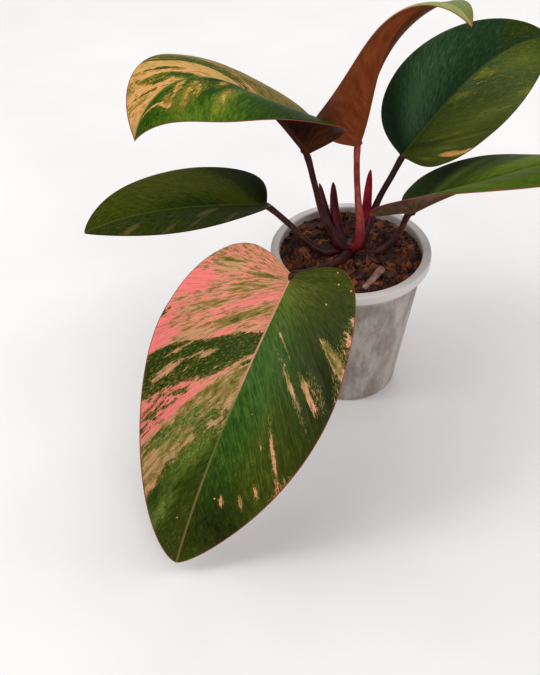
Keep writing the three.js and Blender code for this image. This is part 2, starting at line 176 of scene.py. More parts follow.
def new_piece(name, points, faces, materials=(), edges=()):
    """A mesh object from points in millimetres."""
    mesh = bpy.data.meshes.new(name)
    mesh.from_pydata([Vector(p) * MM for p in points], edges, faces)
    piece = bpy.data.objects.new(name, mesh)
    bpy.context.scene.collection.objects.link(piece)
    for material in materials:
        mesh.materials.append(material)
    return piece


def settle(piece):
    """Turn the piece with its modifiers into a plain mesh."""
    evaluated = piece.evaluated_get(bpy.context.evaluated_depsgraph_get())
    mesh = bpy.data.meshes.new_from_object(evaluated)
    piece.modifiers.clear()
    rough = piece.data
    piece.data = mesh
    bpy.data.meshes.remove(rough)
    mesh.name = piece.name
    return piece


def smooth(piece, sharp_above=180):
    piece.data.shade_smooth()
    piece.data.set_sharp_from_angle(angle=math.radians(sharp_above))


def arc(centre, radius, start, end, steps=6):
    """Points on an arc in a profile, from one angle to another in degrees."""
    angles = np.radians(np.linspace(start, end, steps))
    return [(centre[0] + radius * math.cos(a), centre[1] + radius * math.sin(a)) for a in angles]


def around(radius, count, start=0):
    """Evenly spaced places on a circle."""
    angles = (2 * math.pi * (k + start) / count for k in range(count))
    return [(radius * math.cos(a), radius * math.sin(a)) for a in angles]


def ringed(name, first, rings, last, material):
    """A closed skin from a first point on the axis, outwards and down through rings, to a last point."""
    sides = len(rings[0])
    points = [first, *(point for ring in rings for point in ring), last]
    bottom = len(points) - 1
    faces = []
    for k in range(sides):
        after = (k + 1) % sides
        faces.append((0, 1 + k, 1 + after))
        faces.append((bottom, bottom - sides + after, bottom - sides + k))
        for a in range(1, bottom - sides, sides):
            b = a + sides
            faces.append((a + k, b + k, b + after, a + after))
    return new_piece(name, points, faces, [material])


def turned(name, profile, sides, material):
    """Revolve a profile of (radius, height) points, listed upwards on the outside, from axis to axis."""
    last, *between, first = profile
    rings = [[(x, y, height) for x, y in around(radius, sides)] for radius, height in reversed(between)]
    return ringed(name, (0, 0, first[1]), rings, (0, 0, last[1]), material)


pot_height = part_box("pot")[1][2] / MM
pot_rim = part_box("pot")[1][0] / MM
pot_rim_depth = 5.4
pot_rim_wall = 1.2
pot_rim_round = 1.15
pot_mouth = 42.3
pot_wall = 1.3
pot_foot = 31
pot_foot_round = 2.2
pot_floor = 1.5
pot_drain_holes = 6
pot_drain_radius = 2.4
pot_drain_circle = 20
pot_sides = 180
damp_below = 84
dry_above = 92


def frosted_plastic():
    """Milky plastic, cloudy where damp soil lies against it and lighter above the soil and on the rim."""
    material, surface, place = new_finish("frosted_plastic", roughness=0.42)
    cloud = grain(place, (55, 55, 30), detail=4, roughness=0.65)
    streak = grain(place, (160, 160, 14))
    speck = grain(place, (420, 420, 300), detail=2)
    mottle = cloud * 0.6 + streak * 0.3 + speck * 0.1
    wall = colour_ramp(
        map_range(mottle, 0.36, 0.64), (0, 0.5, 1), [(134, 123, 113), (158, 148, 139), (184, 177, 170)])
    height = split(place)[2]
    dry = map_range(height, damp_below * MM, dry_above * MM)
    connect(surface, Base_Color=blend_colour(dry, wall, (214, 209, 204)),
            Roughness=cloud * 0.2 + 0.34, Normal=bump(speck + streak, 0.05, 0.5))
    return material


def make_pot():
    under_rim = pot_height - pot_rim_depth
    lip = pot_rim - pot_rim_wall
    lip_round = pot_rim_wall / 2
    lip_end = under_rim + 0.3
    top = pot_height - pot_rim_round
    profile = [(0, 0)]
    profile += arc((pot_foot - pot_foot_round, pot_foot_round), pot_foot_round, -90, 0)
    profile += [(pot_mouth + pot_wall, under_rim), (pot_mouth + pot_wall, pot_height - pot_rim_wall)]
    profile += [(lip, pot_height - pot_rim_wall), (lip, lip_end)]
    profile += arc((pot_rim - lip_round, lip_end), lip_round, -150, 0, 5)
    profile += arc((pot_rim - pot_rim_round, top), pot_rim_round, 0, 90)
    profile += arc((pot_mouth + pot_rim_round, top), pot_rim_round, 90, 180)
    profile += [(pot_mouth, under_rim), (pot_foot - pot_wall, pot_foot_round)]
    profile += [(pot_foot - pot_wall - 1, pot_floor), (0, pot_floor)]
    material = frosted_plastic()
    pot = turned("nursery_pot", profile, pot_sides, material)
    drills = []
    for x, y in around(pot_drain_circle, pot_drain_holes, start=0.5):
        rod = [(0, -2), (pot_drain_radius, -2), (pot_drain_radius, 4), (0, 4)]
        drill = turned("drill", rod, 24, material)
        drill.data.transform(Matrix.Translation((x * MM, y * MM, 0)))
        cut = pot.modifiers.new("drain", "BOOLEAN")
        cut.operation = "DIFFERENCE"
        cut.solver = "EXACT"
        cut.object = drill
        drills.append(drill)
    settle(pot)
    for drill in drills:
        bpy.data.objects.remove(drill)
    smooth(pot, 40)
    return pot


pot = make_pot()
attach(pot, "root")
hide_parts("pot")


# Bark soil
# Damp, loose coir husk and bark: a rough dark bed that fills the pot, with flat husk chips, crumbs and curled
# fibres lying on it. The bed follows the packed soil, and the rest is scattered over it by rule.

soil_bottom = 2.7
soil_edge = 90.5
soil_edge_radius = 41.9
soil_foot_radius = 29.4
soil_sides = 120
soil_rings = 56
soil_reach = 42.0


def bark():
    """Red-brown husk. Each chip has its own tone, from nearly black through rust to straw."""
    material, surface, place = new_finish("damp_bark", roughness=0.72)
    tone = add_node(place.tree, "ShaderNodeAttribute", attribute_name="tone")["Fac"]
    fleck = grain(place, (900, 900, 900), detail=4, roughness=0.7)
    patch = grain(place, (160, 160, 160), detail=2)
    mixed = maths("ADD", tone + (fleck - 0.5) * 0.5, (patch - 0.5) * 0.5, clamp=True)
    colour = colour_ramp(mixed, (0, 0.3, 0.55, 0.8, 1), [
        (12, 8, 7), (38, 20, 14), (72, 36, 20), (116, 62, 30), (158, 98, 52)])
    connect(surface, Base_Color=colour, Roughness=patch * 0.5 + 0.45, Normal=bump(fleck, 0.35, 0.8))
    return material


def soil_bed(material):
    """The soil's body: a fine round sheet that follows the packed soil's top, with a wall and a bottom."""
    hull = BVHTree.FromObject(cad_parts["soil"], bpy.context.evaluated_depsgraph_get())

    def height(x, y):
        hit = hull.ray_cast(Vector((x * MM, y * MM, 0.2)), Vector((0, 0, -1)))[0]
        return max(hit.z / MM if hit else soil_edge, soil_edge - 1.5)

    def level_ring(radius, level):
        return [(x, y, level) for x, y in around(radius, soil_sides)]

    rings = []
    for i in range(soil_rings):
        circle = around(soil_edge_radius * (i + 1) / soil_rings, soil_sides)
        rings.append([(x, y, height(0.99 * x, 0.99 * y)) for x, y in circle])
    rings += [level_ring(soil_edge_radius - 0.4, soil_edge - 3), level_ring(soil_foot_radius, soil_bottom)]
    return ringed("bark_soil", (0, 0, height(0, 0)), rings, (0, 0, soil_bottom), material)


def new_tree(name, sizes):
    """A geometry tree with named inputs for its sizes. Returns it with those inputs."""
    tree = bpy.data.node_groups.new(name, "GeometryNodeTree")
    tree.interface.new_socket("Geometry", in_out="OUTPUT", socket_type="NodeSocketGeometry")
    tree.interface.new_socket("Geometry", in_out="INPUT", socket_type="NodeSocketGeometry")
    for size, value in sizes.items():
        kind = "NodeSocketInt" if isinstance(value, int) else "NodeSocketFloat"
        tree.interface.new_socket(size, in_out="INPUT", socket_type=kind).default_value = value
    return tree, add_node(tree, "NodeGroupInput")


def close_tree(tree, geometry, material):
    """End a tree in Realize Instances and Set Material."""
    real = add_node(tree, "GeometryNodeRealizeInstances", {0: geometry})[0]
    finished = add_node(tree, "GeometryNodeSetMaterial", {"Geometry": real, "Material": material})[0]
    add_node(tree, "NodeGroupOutput", {0: finished})


def grow(piece, tree, **sizes):
    """Run a geometry tree on a piece with its own sizes, and keep the result as a plain mesh."""
    modifier = piece.modifiers.new(tree.name, "NODES")
    modifier.node_group = tree
    for socket in tree.interface.items_tree:
        key = socket.name.replace(" ", "_").lower()
        if socket.in_out == "INPUT" and key in sizes:
            modifier[socket.identifier] = sizes[key]
    return settle(piece)


def vector_maths(operation, first, inputs):
    return add_node(first.tree, "ShaderNodeVectorMath", {0: first, **inputs}, operation=operation)[0]


def scatter_tree(material):
    """Roughen the bed, then lay chips, crumbs and fibres over its top."""
    tree, size = new_tree("bark_scatter", {
        "Chip length": 0.0085, "Chip spacing": 0.0042, "Crumb length": 0.0034, "Crumb spacing": 0.0015,
        "Fibre length": 0.011, "Fibre spacing": 0.0032, "Roughness": 0.0016, "Seed": 3,
    })
    place = add_node(tree, "GeometryNodeInputPosition")[0]
    normal = add_node(tree, "GeometryNodeInputNormal")[0]
    height = split(place)[2]
    up = split(normal)[2]
    lowest = (soil_edge - 2.5) * MM
    on_top = add_node(tree, "FunctionNodeCompare", {0: height, 1: lowest}, operation="GREATER_THAN")[0]
    facing_up = add_node(tree, "FunctionNodeCompare", {0: up, 1: 0.25}, operation="GREATER_THAN")[0]
    top = add_node(tree, "FunctionNodeBooleanMath", {0: on_top, 1: facing_up})[0]
    rough = add_node(tree, "ShaderNodeTexNoise", {"Vector": place, "Scale": 260.0, "Detail": 3.0})["Fac"]
    lift = add_node(tree, "ShaderNodeCombineXYZ", {"Z": (rough - 0.62) * size["Roughness"] * 3.0})[0]
    bed = add_node(tree, "GeometryNodeSetPosition", {
        "Geometry": size[0], "Selection": on_top, "Offset": lift})[0]

    def toned(geometry, tone, domain):
        return add_node(tree, "GeometryNodeStoreNamedAttribute", {
            "Geometry": geometry, "Name": "tone", "Value": tone}, data_type="FLOAT", domain=domain)[0]

    def lump(sides, level, wobble, twist):
        """A broken chip: a block with its corners pushed about by noise."""
        block = add_node(tree, "GeometryNodeMeshCube", {"Size": sides})[0]
        fine = add_node(tree, "GeometryNodeSubdivideMesh", {0: block, "Level": level})[0]
        shape = add_node(tree, "ShaderNodeTexNoise", {
            "W": twist, "Vector": place, "Scale": 3.2, "Detail": 2.0}, noise_dimensions="4D")["Color"]
        push = vector_maths("MULTIPLY", vector_maths("SUBTRACT", shape, {1: (0.5, 0.5, 0.5)}), {1: wobble})
        bent = add_node(tree, "GeometryNodeSetPosition", {"Geometry": fine, "Offset": push})[0]
        return add_node(tree, "GeometryNodeGeometryToInstance", {0: bent})[0]

    def curl(bow, rise, lean):
        """A thin fibre, bowed to one side and lifted in the middle."""
        line = add_node(tree, "GeometryNodeCurveQuadraticBezier", {
            "Resolution": 6, "Start": (-0.5, 0, 0), "Middle": (lean, bow, rise), "End": (0.5, 0.1, -0.02)})[0]
        ring = add_node(tree, "GeometryNodeCurvePrimitiveCircle", {"Resolution": 4, "Radius": 0.016})[0]
        wire = add_node(tree, "GeometryNodeCurveToMesh", {
            0: line, "Profile Curve": ring, "Fill Caps": True})[0]
        return add_node(tree, "GeometryNodeGeometryToInstance", {0: wire})[0]

    def joined(shapes):
        join = add_node(tree, "GeometryNodeJoinGeometry")
        for shape in shapes:
            tree.links.new(shape.socket, join.node.inputs[0])
        return join[0]

    def random(kind, low, high, seed):
        """A random float or vector for each point."""
        first = 0 if kind == "FLOAT_VECTOR" else 2
        drawn = add_node(tree, "FunctionNodeRandomValue", {
            first: low, first + 1: high, "Seed": seed}, data_type=kind)
        return drawn[first // 2]

    def strew(kind, shapes, smallest, tilt, tones, step):
        """Lay copies on the top, turned any way, tilted a little, each with its own size and tone."""
        spots = add_node(tree, "GeometryNodeDistributePointsOnFaces", {
            "Mesh": bed, "Selection": top, "Distance Min": size[f"{kind} spacing"], "Density Max": 900000.0,
            "Seed": size["Seed"] + step,
        }, distribute_method="POISSON")
        turn = random("FLOAT_VECTOR", (-tilt, -tilt, -math.pi), (tilt, tilt, math.pi), step + 40)
        turn = add_node(tree, "FunctionNodeEulerToRotation", {0: turn})[0]
        turn = add_node(tree, "FunctionNodeRotateRotation", {
            0: spots["Rotation"], 1: turn}, rotation_space="LOCAL")[0]
        stretch = random("FLOAT_VECTOR", (smallest, smallest, 0.6), (1, 1, 1.2), step + 50)
        laid = add_node(tree, "GeometryNodeInstanceOnPoints", {
            "Points": spots["Points"], "Instance": joined(shapes), "Pick Instance": True, "Rotation": turn,
            "Scale": vector_maths("SCALE", stretch, {"Scale": size[f"{kind} length"]})})[0]
        return toned(laid, random("FLOAT", *tones, step + 60), "INSTANCE")

    chips = [lump((1, 0.62, 0.22), 2, (0.35, 0.3, 0.35), k * 3.7) for k in range(3)]
    crumbs = [lump((1, 0.7, 0.5), 1, (0.5, 0.5, 0.6), 20 + k * 2.3) for k in range(4)]
    curls = [curl(0.35, 0.12, 0), curl(-0.2, 0.25, 0.05), curl(0.5, 0.05, 0.1)]
    close_tree(tree, joined([
        toned(bed, rough * 0.35, "POINT"),
        strew("Chip", chips, 0.55, 0.5, (0.35, 0.95), 1),
        strew("Crumb", crumbs, 0.3, 0.9, (0.15, 0.85), 2),
        strew("Fibre", curls, 0.5, 0.35, (0.5, 1.0), 3),
    ]), material)
    return tree


def press_inside(piece, reach):
    """Press whatever passes the pot's wall back to it."""
    vertices = piece.data.vertices
    places = np.zeros(3 * len(vertices))
    vertices.foreach_get("co", places)
    places = places.reshape(-1, 3)
    from_axis = np.hypot(places[:, 0], places[:, 1])
    places[:, :2] *= np.minimum(1, reach * MM / np.maximum(from_axis, MM))[:, None]
    vertices.foreach_set("co", places.ravel())
    piece.data.update()


bark_finish = bark()
soil = grow(soil_bed(bark_finish), scatter_tree(bark_finish))
press_inside(soil, soil_reach)
smooth(soil, 50)
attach(soil, "root")
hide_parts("soil")


# Root stub
# A bare, pale pinkish-grey piece of root that lies in the bark at the front right, with a blunt round end.

def tube_tree(name, material, thickness, round_end, section=None):
    """A tree that turns a chain of points into a closed round stalk. thickness gives the radius from the
    share of the length, and section may reshape the round cross-section."""
    tree, size = new_tree(name, {
        "Foot radius": 0.003, "Tip radius": 0.0018, "Steps": 70, "Sides": 20, "Wobble": 0.00015,
    })
    line = add_node(tree, "GeometryNodeMeshToCurve", {0: size[0]})[0]
    line = add_node(tree, "GeometryNodeCurveSplineType", {0: line}, spline_type="CATMULL_ROM")[0]
    line = add_node(tree, "GeometryNodeResampleCurve", {
        "Curve": line, "Count": size["Steps"]}, mode="COUNT")[0]
    along = add_node(tree, "GeometryNodeSplineParameter")["Factor"]
    line = add_node(tree, "GeometryNodeStoreNamedAttribute", {
        "Geometry": line, "Name": "along", "Value": along}, data_type="FLOAT", domain="POINT")[0]
    radius = thickness(size, along)
    if round_end:
        inward = 1.0 - maths("MINIMUM", (1.0 - along) / round_end, 1.0)
        dome = maths("SQRT", 1.0 - inward ** 2.0)
        radius = radius * maths("MAXIMUM", dome, 0.04)
    place = add_node(tree, "GeometryNodeInputPosition")[0]
    ring = add_node(tree, "GeometryNodeCurvePrimitiveCircle", {"Resolution": size["Sides"], "Radius": 1.0})[0]
    if section:
        level = vector_maths("MULTIPLY", place, {1: (1, 1, 0)})
        line = add_node(tree, "GeometryNodeSetCurveNormal", {0: line, "Normal": level}, mode="FREE")[0]
        ring = add_node(tree, "GeometryNodeSetPosition", {"Geometry": ring, "Position": section(place)})[0]
    skin = add_node(tree, "GeometryNodeCurveToMesh", {
        0: line, "Profile Curve": ring, "Scale": radius, "Fill Caps": True})[0]
    rough = add_node(tree, "ShaderNodeTexNoise", {"Vector": place, "Scale": 220.0, "Detail": 2.0})["Fac"]
    normal = add_node(tree, "GeometryNodeInputNormal")[0]
    push = vector_maths("SCALE", normal, {"Scale": (rough - 0.5) * size["Wobble"]})
    skin = add_node(tree, "GeometryNodeSetPosition", {"Geometry": skin, "Offset": push})[0]
    close_tree(tree, skin, material)
    return tree


def chain(name, points):
    """A chain of edges through points, for a stalk to grow along."""
    return new_piece(name, points, [], edges=[(k, k + 1) for k in range(len(points) - 1)])


def tapered(size, along):
    """A radius that goes evenly from foot to tip."""
    return (size["Tip radius"] - size["Foot radius"]) * along + size["Foot radius"]


def dry_root():
    material, surface, place = new_finish("dry_root", roughness=0.75)
    patch = grain(place, (300, 300, 300), detail=4)
    colour = colour_ramp(patch, (0.3, 0.5, 0.7), [(104, 66, 58), (146, 108, 98), (178, 146, 136)])
    connect(surface, Base_Color=colour, Normal=bump(patch, 0.4, 0.8))
    return material


stub_round_end = 0.12
stub_points = [(5, -36.5, 94.5), (9.5, -31, 96), (13.5, -26.5, 97.5), (17, -22.5, 98.6)]
stub = grow(
    chain("root_piece", stub_points), tube_tree("root_tube", dry_root(), tapered, stub_round_end),
    foot_radius=1.7 * MM, tip_radius=2.4 * MM, wobble=0.9 * MM,
)
smooth(stub)
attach(stub, "root")
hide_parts("root_stub")


# Stem crown
# The short, thick brown stem that all stalks leave, ringed with the scars of shed leaves. Most of it stands
# below the soil.

stem_axis = (-1, -4)
stem_radius = 6.4
stem_bottom = 56
stem_top = 106
stem_steps = 40
scar_spacing = 7
scar_height = 0.35


def stem_skin():
    material, surface, place = new_finish("stem_skin", roughness=0.6)
    rings = grain(place, (60, 60, 700))
    patch = grain(place, (400, 400, 400), detail=4)
    tone = rings * 0.6 + patch * 0.4
    colour = colour_ramp(tone, (0.3, 0.5, 0.7), [(34, 17, 13), (68, 34, 26), (104, 66, 46)])
    connect(surface, Base_Color=colour, Normal=bump(tone, 0.6, 0.8))
    return material


def make_stem():
    """The crown swells towards its middle and a little at each scar, and closes to a low dome."""
    height = stem_top - stem_bottom
    profile = [(0, stem_bottom)]
    for share in (k / stem_steps for k in range(stem_steps + 1)):
        body = stem_radius * (0.6 + 0.42 * math.sin(math.pi * min(1, 0.15 + 0.85 * share) ** 0.8))
        scar = scar_height * max(0, math.cos(share * height * 2 * math.pi / scar_spacing)) ** 4
        profile.append((body * (1 - 0.35 * share ** 6) + scar, stem_bottom + 1 + (height - 2.5) * share))
    profile.append((0, stem_top))
    stem = turned("stem_crown", profile, 48, stem_skin())
    stem.data.transform(Matrix.Translation((stem_axis[0] * MM, stem_axis[1] * MM, 0)))
    smooth(stem, 60)
    return stem


stem = make_stem()
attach(stem, "root")
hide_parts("stem")


# Leaf stalks
# Round, smooth stalks, dark maroon and one translucent red. Each is thick where it leaves the stem,
# slender for most of its length, and swells a little just below its blade.

stalk_foot_radius = 3.8
stalk_top_radius = 1.8
stalk_taper_end = 0.6
stalk_swelling = 0.22
stalk_foot_depth = 3
stalk_round_end = 0.015
reach_under_blade = 4.5
drop_under_blade = 2.6
drop_at_blade = 1.2


def stalk_thickness(size, along):
    """Thick at the foot, slender from about halfway, with a faint swelling just below the blade."""
    left = maths("SUBTRACT", 1.0, along / stalk_taper_end, clamp=True)
    radius = (size["Foot radius"] - size["Tip radius"]) * left ** 1.5 + size["Tip radius"]
    swell = map_range(along, 0.8, 0.91, 0.0, stalk_swelling * MM)
    return (radius + swell) * map_range(along, 0.92, 1.0, 1.0, 0.5, "LINEAR")


def stalk_skin(name, deep, middle, light, foot):
    """Smooth skin with faint lengthwise streaks and a few pale pores."""
    material, surface, place = new_finish(name, roughness=0.36, gloss=0.2)
    along = add_node(place.tree, "ShaderNodeAttribute", attribute_name="along")["Fac"]
    streak = grain(place, (420, 420, 50))
    patch = grain(place, (120, 120, 90))
    colour = colour_ramp(streak * 0.45 + patch * 0.55, (0.34, 0.5, 0.68), [deep, middle, light])
    colour = blend_colour(map_range(along, 0.3, 0.0), colour, foot)
    cells = add_node(place.tree, "ShaderNodeTexVoronoi", {"Vector": place, "Scale": 520.0})["Distance"]
    pores = map_range(cells, 0.13, 0.06)
    connect(surface, Base_Color=blend_colour(pores * 0.35, colour, light), Roughness=patch * 0.25 + 0.26,
            Normal=bump(streak + pores, 0.12, 0.6))
    return material


maroon_skin = stalk_skin("maroon_stalk", (42, 18, 16), (66, 32, 27), (98, 58, 46), (56, 12, 15))
red_skin = stalk_skin("red_stalk", (118, 34, 32), (150, 60, 54), (182, 98, 86), (108, 12, 22))
maroon_tube = tube_tree("maroon_tube", maroon_skin, stalk_thickness, stalk_round_end)
red_tube = tube_tree("red_tube", red_skin, stalk_thickness, stalk_round_end)


def make_stalk(leaf, points, facing, tube):
    """A stalk from inside the stem, through its points, to its blade's base, which is the last of them.
    From there it runs on under the midrib, which faces by this heading, climb and roll in degrees."""
    foot = (stem_axis[0], stem_axis[1], points[0][2] - stalk_foot_depth)
    heading, climb, roll = (math.radians(angle) for angle in facing)
    turn = Matrix.Rotation(heading, 3, "Z") @ Matrix.Rotation(-climb, 3, "Y") @ Matrix.Rotation(roll, 3, "X")
    neck = Vector(points[-1]) + turn @ Vector((0, 0, -drop_at_blade))
    end = Vector(points[-1]) + turn @ Vector((reach_under_blade, 0, -drop_under_blade))
    sizes = {"foot_radius": stalk_foot_radius * MM, "tip_radius": stalk_top_radius * MM}
    stalk = grow(chain(f"stalk_{leaf}", [foot, *points[:-1], neck, end]), tube, **sizes)
    smooth(stalk)
    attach(stalk, "root")
    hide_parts(f"petiole_{leaf}")


make_stalk("front", [
    (-4, -12, 99.5), (-11, -25, 104.5), (-20, -36, 109.5), (-29, -48, 116), (-36.4, -58.1, 122.8),
], (-122, -34, -7), maroon_tube)
make_stalk("upper_left", [
    (-7, -4.5, 102), (-13, -1, 112), (-18, 3, 123), (-22, 8.5, 138), (-25, 13.5, 153),
], (165, 52, 19), maroon_tube)
make_stalk("left", [
    (-10, -5.5, 98.5), (-17.5, -6.5, 99.5), (-27, -3.5, 105), (-36, 1.4, 113), (-49.1, 7.9, 123.3),
], (190.5, 7, 6), maroon_tube)
make_stalk("centre", [
    (3.5, -5, 103), (4.8, -0.5, 113), (3.9, 6.5, 123), (3.2, 16.5, 137), (2.9, 26.5, 149.7),
], (4, 71, -43), red_tube)
make_stalk("back_right", [
    (5.5, -0.5, 101.5), (10, 5.5, 109), (17, 15, 121.5), (24.5, 23, 131.5), (30.5, 30, 140.2),
], (54, 13, 5), maroon_tube)
make_stalk("right", [
    (7.5, -7, 98.5), (14, -9.5, 100.5), (21, -9.5, 105.5), (27, -8, 113), (30.8, -5.1, 124.1),
], (-17, 41, -12), maroon_tube)


# Red sheaths
# Three pointed sheaths that wrapped the youngest leaves, one crimson and two dark maroon. Each is a narrow
# blade, hollowed on the side that faces the stem, and tapers to a sharp tip.

def sheath_thickness(size, along):
    """Full for most of the length, drawn in at the foot, and running out to a point."""
    point = maths("SQRT", maths("SUBTRACT", 1.0, along ** 2.2, clamp=True))
    belly = map_range(along, 0.0, 0.45, 0.72, 1.0)
    return size["Foot radius"] * maths("MAXIMUM", point * belly, 0.06)


def sheath_section(place):
    """Flatten the round section and bow it, so that the sheath is hollow towards the stem."""
    x, y = split(place)[:2]
    flat = x * 0.42 + maths("ABSOLUTE", y) ** 2.0 * -0.42
    return add_node(place.tree, "ShaderNodeCombineXYZ", {"X": flat, "Y": y})[0]


crimson_skin = stalk_skin("crimson_sheath", (112, 12, 30), (144, 22, 42), (176, 52, 66), (84, 10, 20))
dark_skin = stalk_skin("dark_sheath", (56, 14, 20), (84, 22, 28), (112, 44, 44), (44, 12, 14))
crimson_tube = tube_tree("crimson_tube", crimson_skin, sheath_thickness, 0, sheath_section)
dark_tube = tube_tree("dark_tube", dark_skin, sheath_thickness, 0, sheath_section)


def make_sheath(name, points, half_width, tube):
    sheath = grow(chain(f"spear_{name}", points), tube, foot_radius=half_width * MM)
    smooth(sheath, 70)
    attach(sheath, "root")
    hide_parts(f"sheath_{name}")


make_sheath("bright", [
    (5, -1.5, 99), (8.5, 4.5, 106), (10, 11, 116), (10.7, 16, 126), (11.6, 20.7, 137.3),
], 3.7, crimson_tube)
make_sheath("dark_long", [
    (-3.5, 0.5, 99), (-7, 4.5, 105), (-9.8, 9, 114.5), (-10.6, 13, 122.5), (-10.4, 17, 131.6),
], 4.2, dark_tube)
make_sheath("dark_short", [
    (-7, -1.5, 99), (-10.5, 1.5, 105), (-14.5, 7, 115), (-17, 10.5, 124), (-18.6, 13.5, 133.3),
], 3.8, dark_tube)


# Front leaf
# The large leaf that hangs towards the viewer. Its right half is salmon pink with olive streaks and a dark
# green band, and its left half is deep green with pink and cream flecks. The streaks follow the side veins.

blade_thickness = 0.45
margin_bulge = 0.5
rib_half_width = 1.7
rib_height = 1.3
groove_half_width = 1.0
groove_depth = 0.45
midrib_thinning = 0.7
quilt_from_rib = 6
quilt_from_margin = 10
wave_reach = 14
vein_crowding = 1.2
vein_sweep = 1.56
vein_bow = 1.12
lobe_end = 0.41
midrib_steps = 60
row_crowding = 0.75
column_crowding = 1.25


def midrib_of(leaf):
    """Follow the midrib from stalk to tip: places in millimetres, and directions along, left and up."""
    share = np.linspace(0, 1, midrib_steps + 1)
    heading, climb, roll = (
        np.radians(a + b * share + c * share ** 2)
        for a, b, c in (leaf["heading"], leaf["climb"], leaf["roll"]))
    along = np.stack([np.cos(climb) * np.cos(heading), np.cos(climb) * np.sin(heading), np.sin(climb)], -1)
    level = np.stack([-np.sin(heading), np.cos(heading), 0 * heading], -1)
    upright = np.cross(along, level)
    turn = np.cos(roll)[:, None]
    rise = np.sin(roll)[:, None]
    left = level * turn + upright * rise
    up = upright * turn - level * rise
    moves = (along[1:] + along[:-1]) * leaf["length"] / midrib_steps / 2
    points = np.array(leaf["base"]) + np.vstack([np.zeros(3), np.cumsum(moves, axis=0)])
    return points, along, left, up


def by_half(leaf, v, quality):
    """A quality of the left half where v is positive and of the right half where it isn't."""
    left = np.array(leaf[f"left_{quality}"], float)
    right = np.array(leaf[f"right_{quality}"], float)
    mask = v >= 0
    return np.where(mask if left.ndim == 0 else mask[:, None], left, right)


def flat_place(leaf, half, tau, v):
    """Where the vein numbered tau, 0 at the stalk and 1 at the tip, is at share v of its way to the margin.
    Returns the place along the midrib and the distance from it, both as shares."""
    tau = np.clip(tau, 0, 1)
    outline = np.sin(math.pi * tau) ** (leaf["fullness"] + leaf["pointing"] * tau ** 3)
    lobe = by_half(leaf, half, "lobe") * np.sin(math.pi * np.minimum(1, tau / lobe_end) ** 0.8)
    start = 0.06 * tau + 0.94 * tau ** 4.5
    return start + (tau ** vein_sweep - lobe - start) * v ** vein_bow, outline * v


def blade_place(leaf, midrib, tau, v):
    """Bend the flat blade into space. v is positive on the left half and negative on the right."""
    points, along, left, up = midrib
    at, share = flat_place(leaf, v, tau, np.abs(v))
    place = np.clip(at, 0, 1)
    weight = (1 - place) ** leaf["fade"]

    def bend(quality):
        stalk, tip = by_half(leaf, v, quality).T
        return (tip + (stalk - tip) * weight)[:, None]

    pieces = 6
    middles = (np.arange(pieces) + 0.5) / pieces
    angle = np.radians(bend("fold") + bend("curl") * share[:, None] * middles)
    width = share * by_half(leaf, v, "width")
    out = width * np.cos(angle).mean(-1) * np.where(v < 0, -1, 1)
    rise = width * np.sin(angle).mean(-1)
    position = place * (len(points) - 1)
    before = np.minimum(position.astype(int), len(points) - 2)
    part = (position - before)[:, None]

    def between(values):
        return values[before] * (1 - part) + values[before + 1] * part

    def direction(values):
        mixed = between(values)
        return mixed / np.linalg.norm(mixed, axis=-1, keepdims=True)

    past_stalk = (np.minimum(at, 0) * leaf["length"])[:, None]
    return (between(points) + direction(along) * past_stalk
            + direction(left) * out[:, None] + direction(up) * rise[:, None])


# What a patch of leaf is like: how pale, how red, how veiled with green, and how light its green is
tissue = {
    "pink": (1.2, 1.0, 0.08, None),
    "salmon": (1.0, 0.5, 0.3, None),
    "cream": (1.0, 0.1, 0.15, None),
    "beige": (0.8, 0.25, 0.55, None),
    "sage": (0.6, 0.1, 0.8, 0.5),
    "olive": (0.9, 0.3, 1.05, None),
    "thin olive": (0.9, 0.4, 0.72, None),
    "yellow": (0.3, 0.8, 0.6, 0.8),
    "pink flecks": (0.0, 0.9, 0.1, None),
    "yellow flecks": (-0.4, 0.9, 0.8, 0.7),
    "few flecks": (-0.4, 0.5, 0.4, None),
    "flecked green": (-0.75, 0.5, 0.3, -0.2),
    "mottled": (-0.25, 0.15, 0.6, 0.5),
    "green": (-1.5, 0.5, None, -0.1),
    # The sheened mottle and glints stand for the leaf's gloss: their light green and light specks are painted
    # sheen and painted glints
    "sheened mottle": (-0.1, 0.1, 0.7, 1.1),
    "glints": (-0.6, 0.4, 0.6, 1.0),
    "dark": (None, None, None, -0.9),
    "light": (None, None, None, 0.8),
    "cool": (None, 0.0, None, 0.35),
    "bronze": (None, 1.0, None, None),
}
shade_layer = 3
patch_softness = 0.01
shading_softness = 0.9


def paint(leaf, tau, v):
    """Lay patches over each half's own tissue. A patch has its kind, the vein and the share of the way to the
    margin at its start and at its end, and its half-width across the veins."""
    layers = by_half(leaf, v, "tissue")
    for half, here in (("left", v >= 0), ("right", v < 0)):
        for kind, start_tau, start_v, end_tau, end_v, half_width in leaf[f"{half}_patches"]:
            along = (np.abs(v) - start_v) / (end_v - start_v)
            across = (tau - start_tau - (end_tau - start_tau) * along) / half_width
            inside = 1 - np.hypot(2 * along - 1, across)
            sharp = np.clip(0.5 + 0.5 * inside * max(1, half_width / patch_softness), 0, 1) * here
            gentle = np.clip(0.5 + 0.5 * inside / shading_softness, 0, 1) * here
            for layer, target in enumerate(tissue[kind]):
                if target is not None:
                    strength = gentle if layer == shade_layer or tissue[kind][0] is None else sharp
                    layers[:, layer] += (target - layers[:, layer]) * strength
    return layers


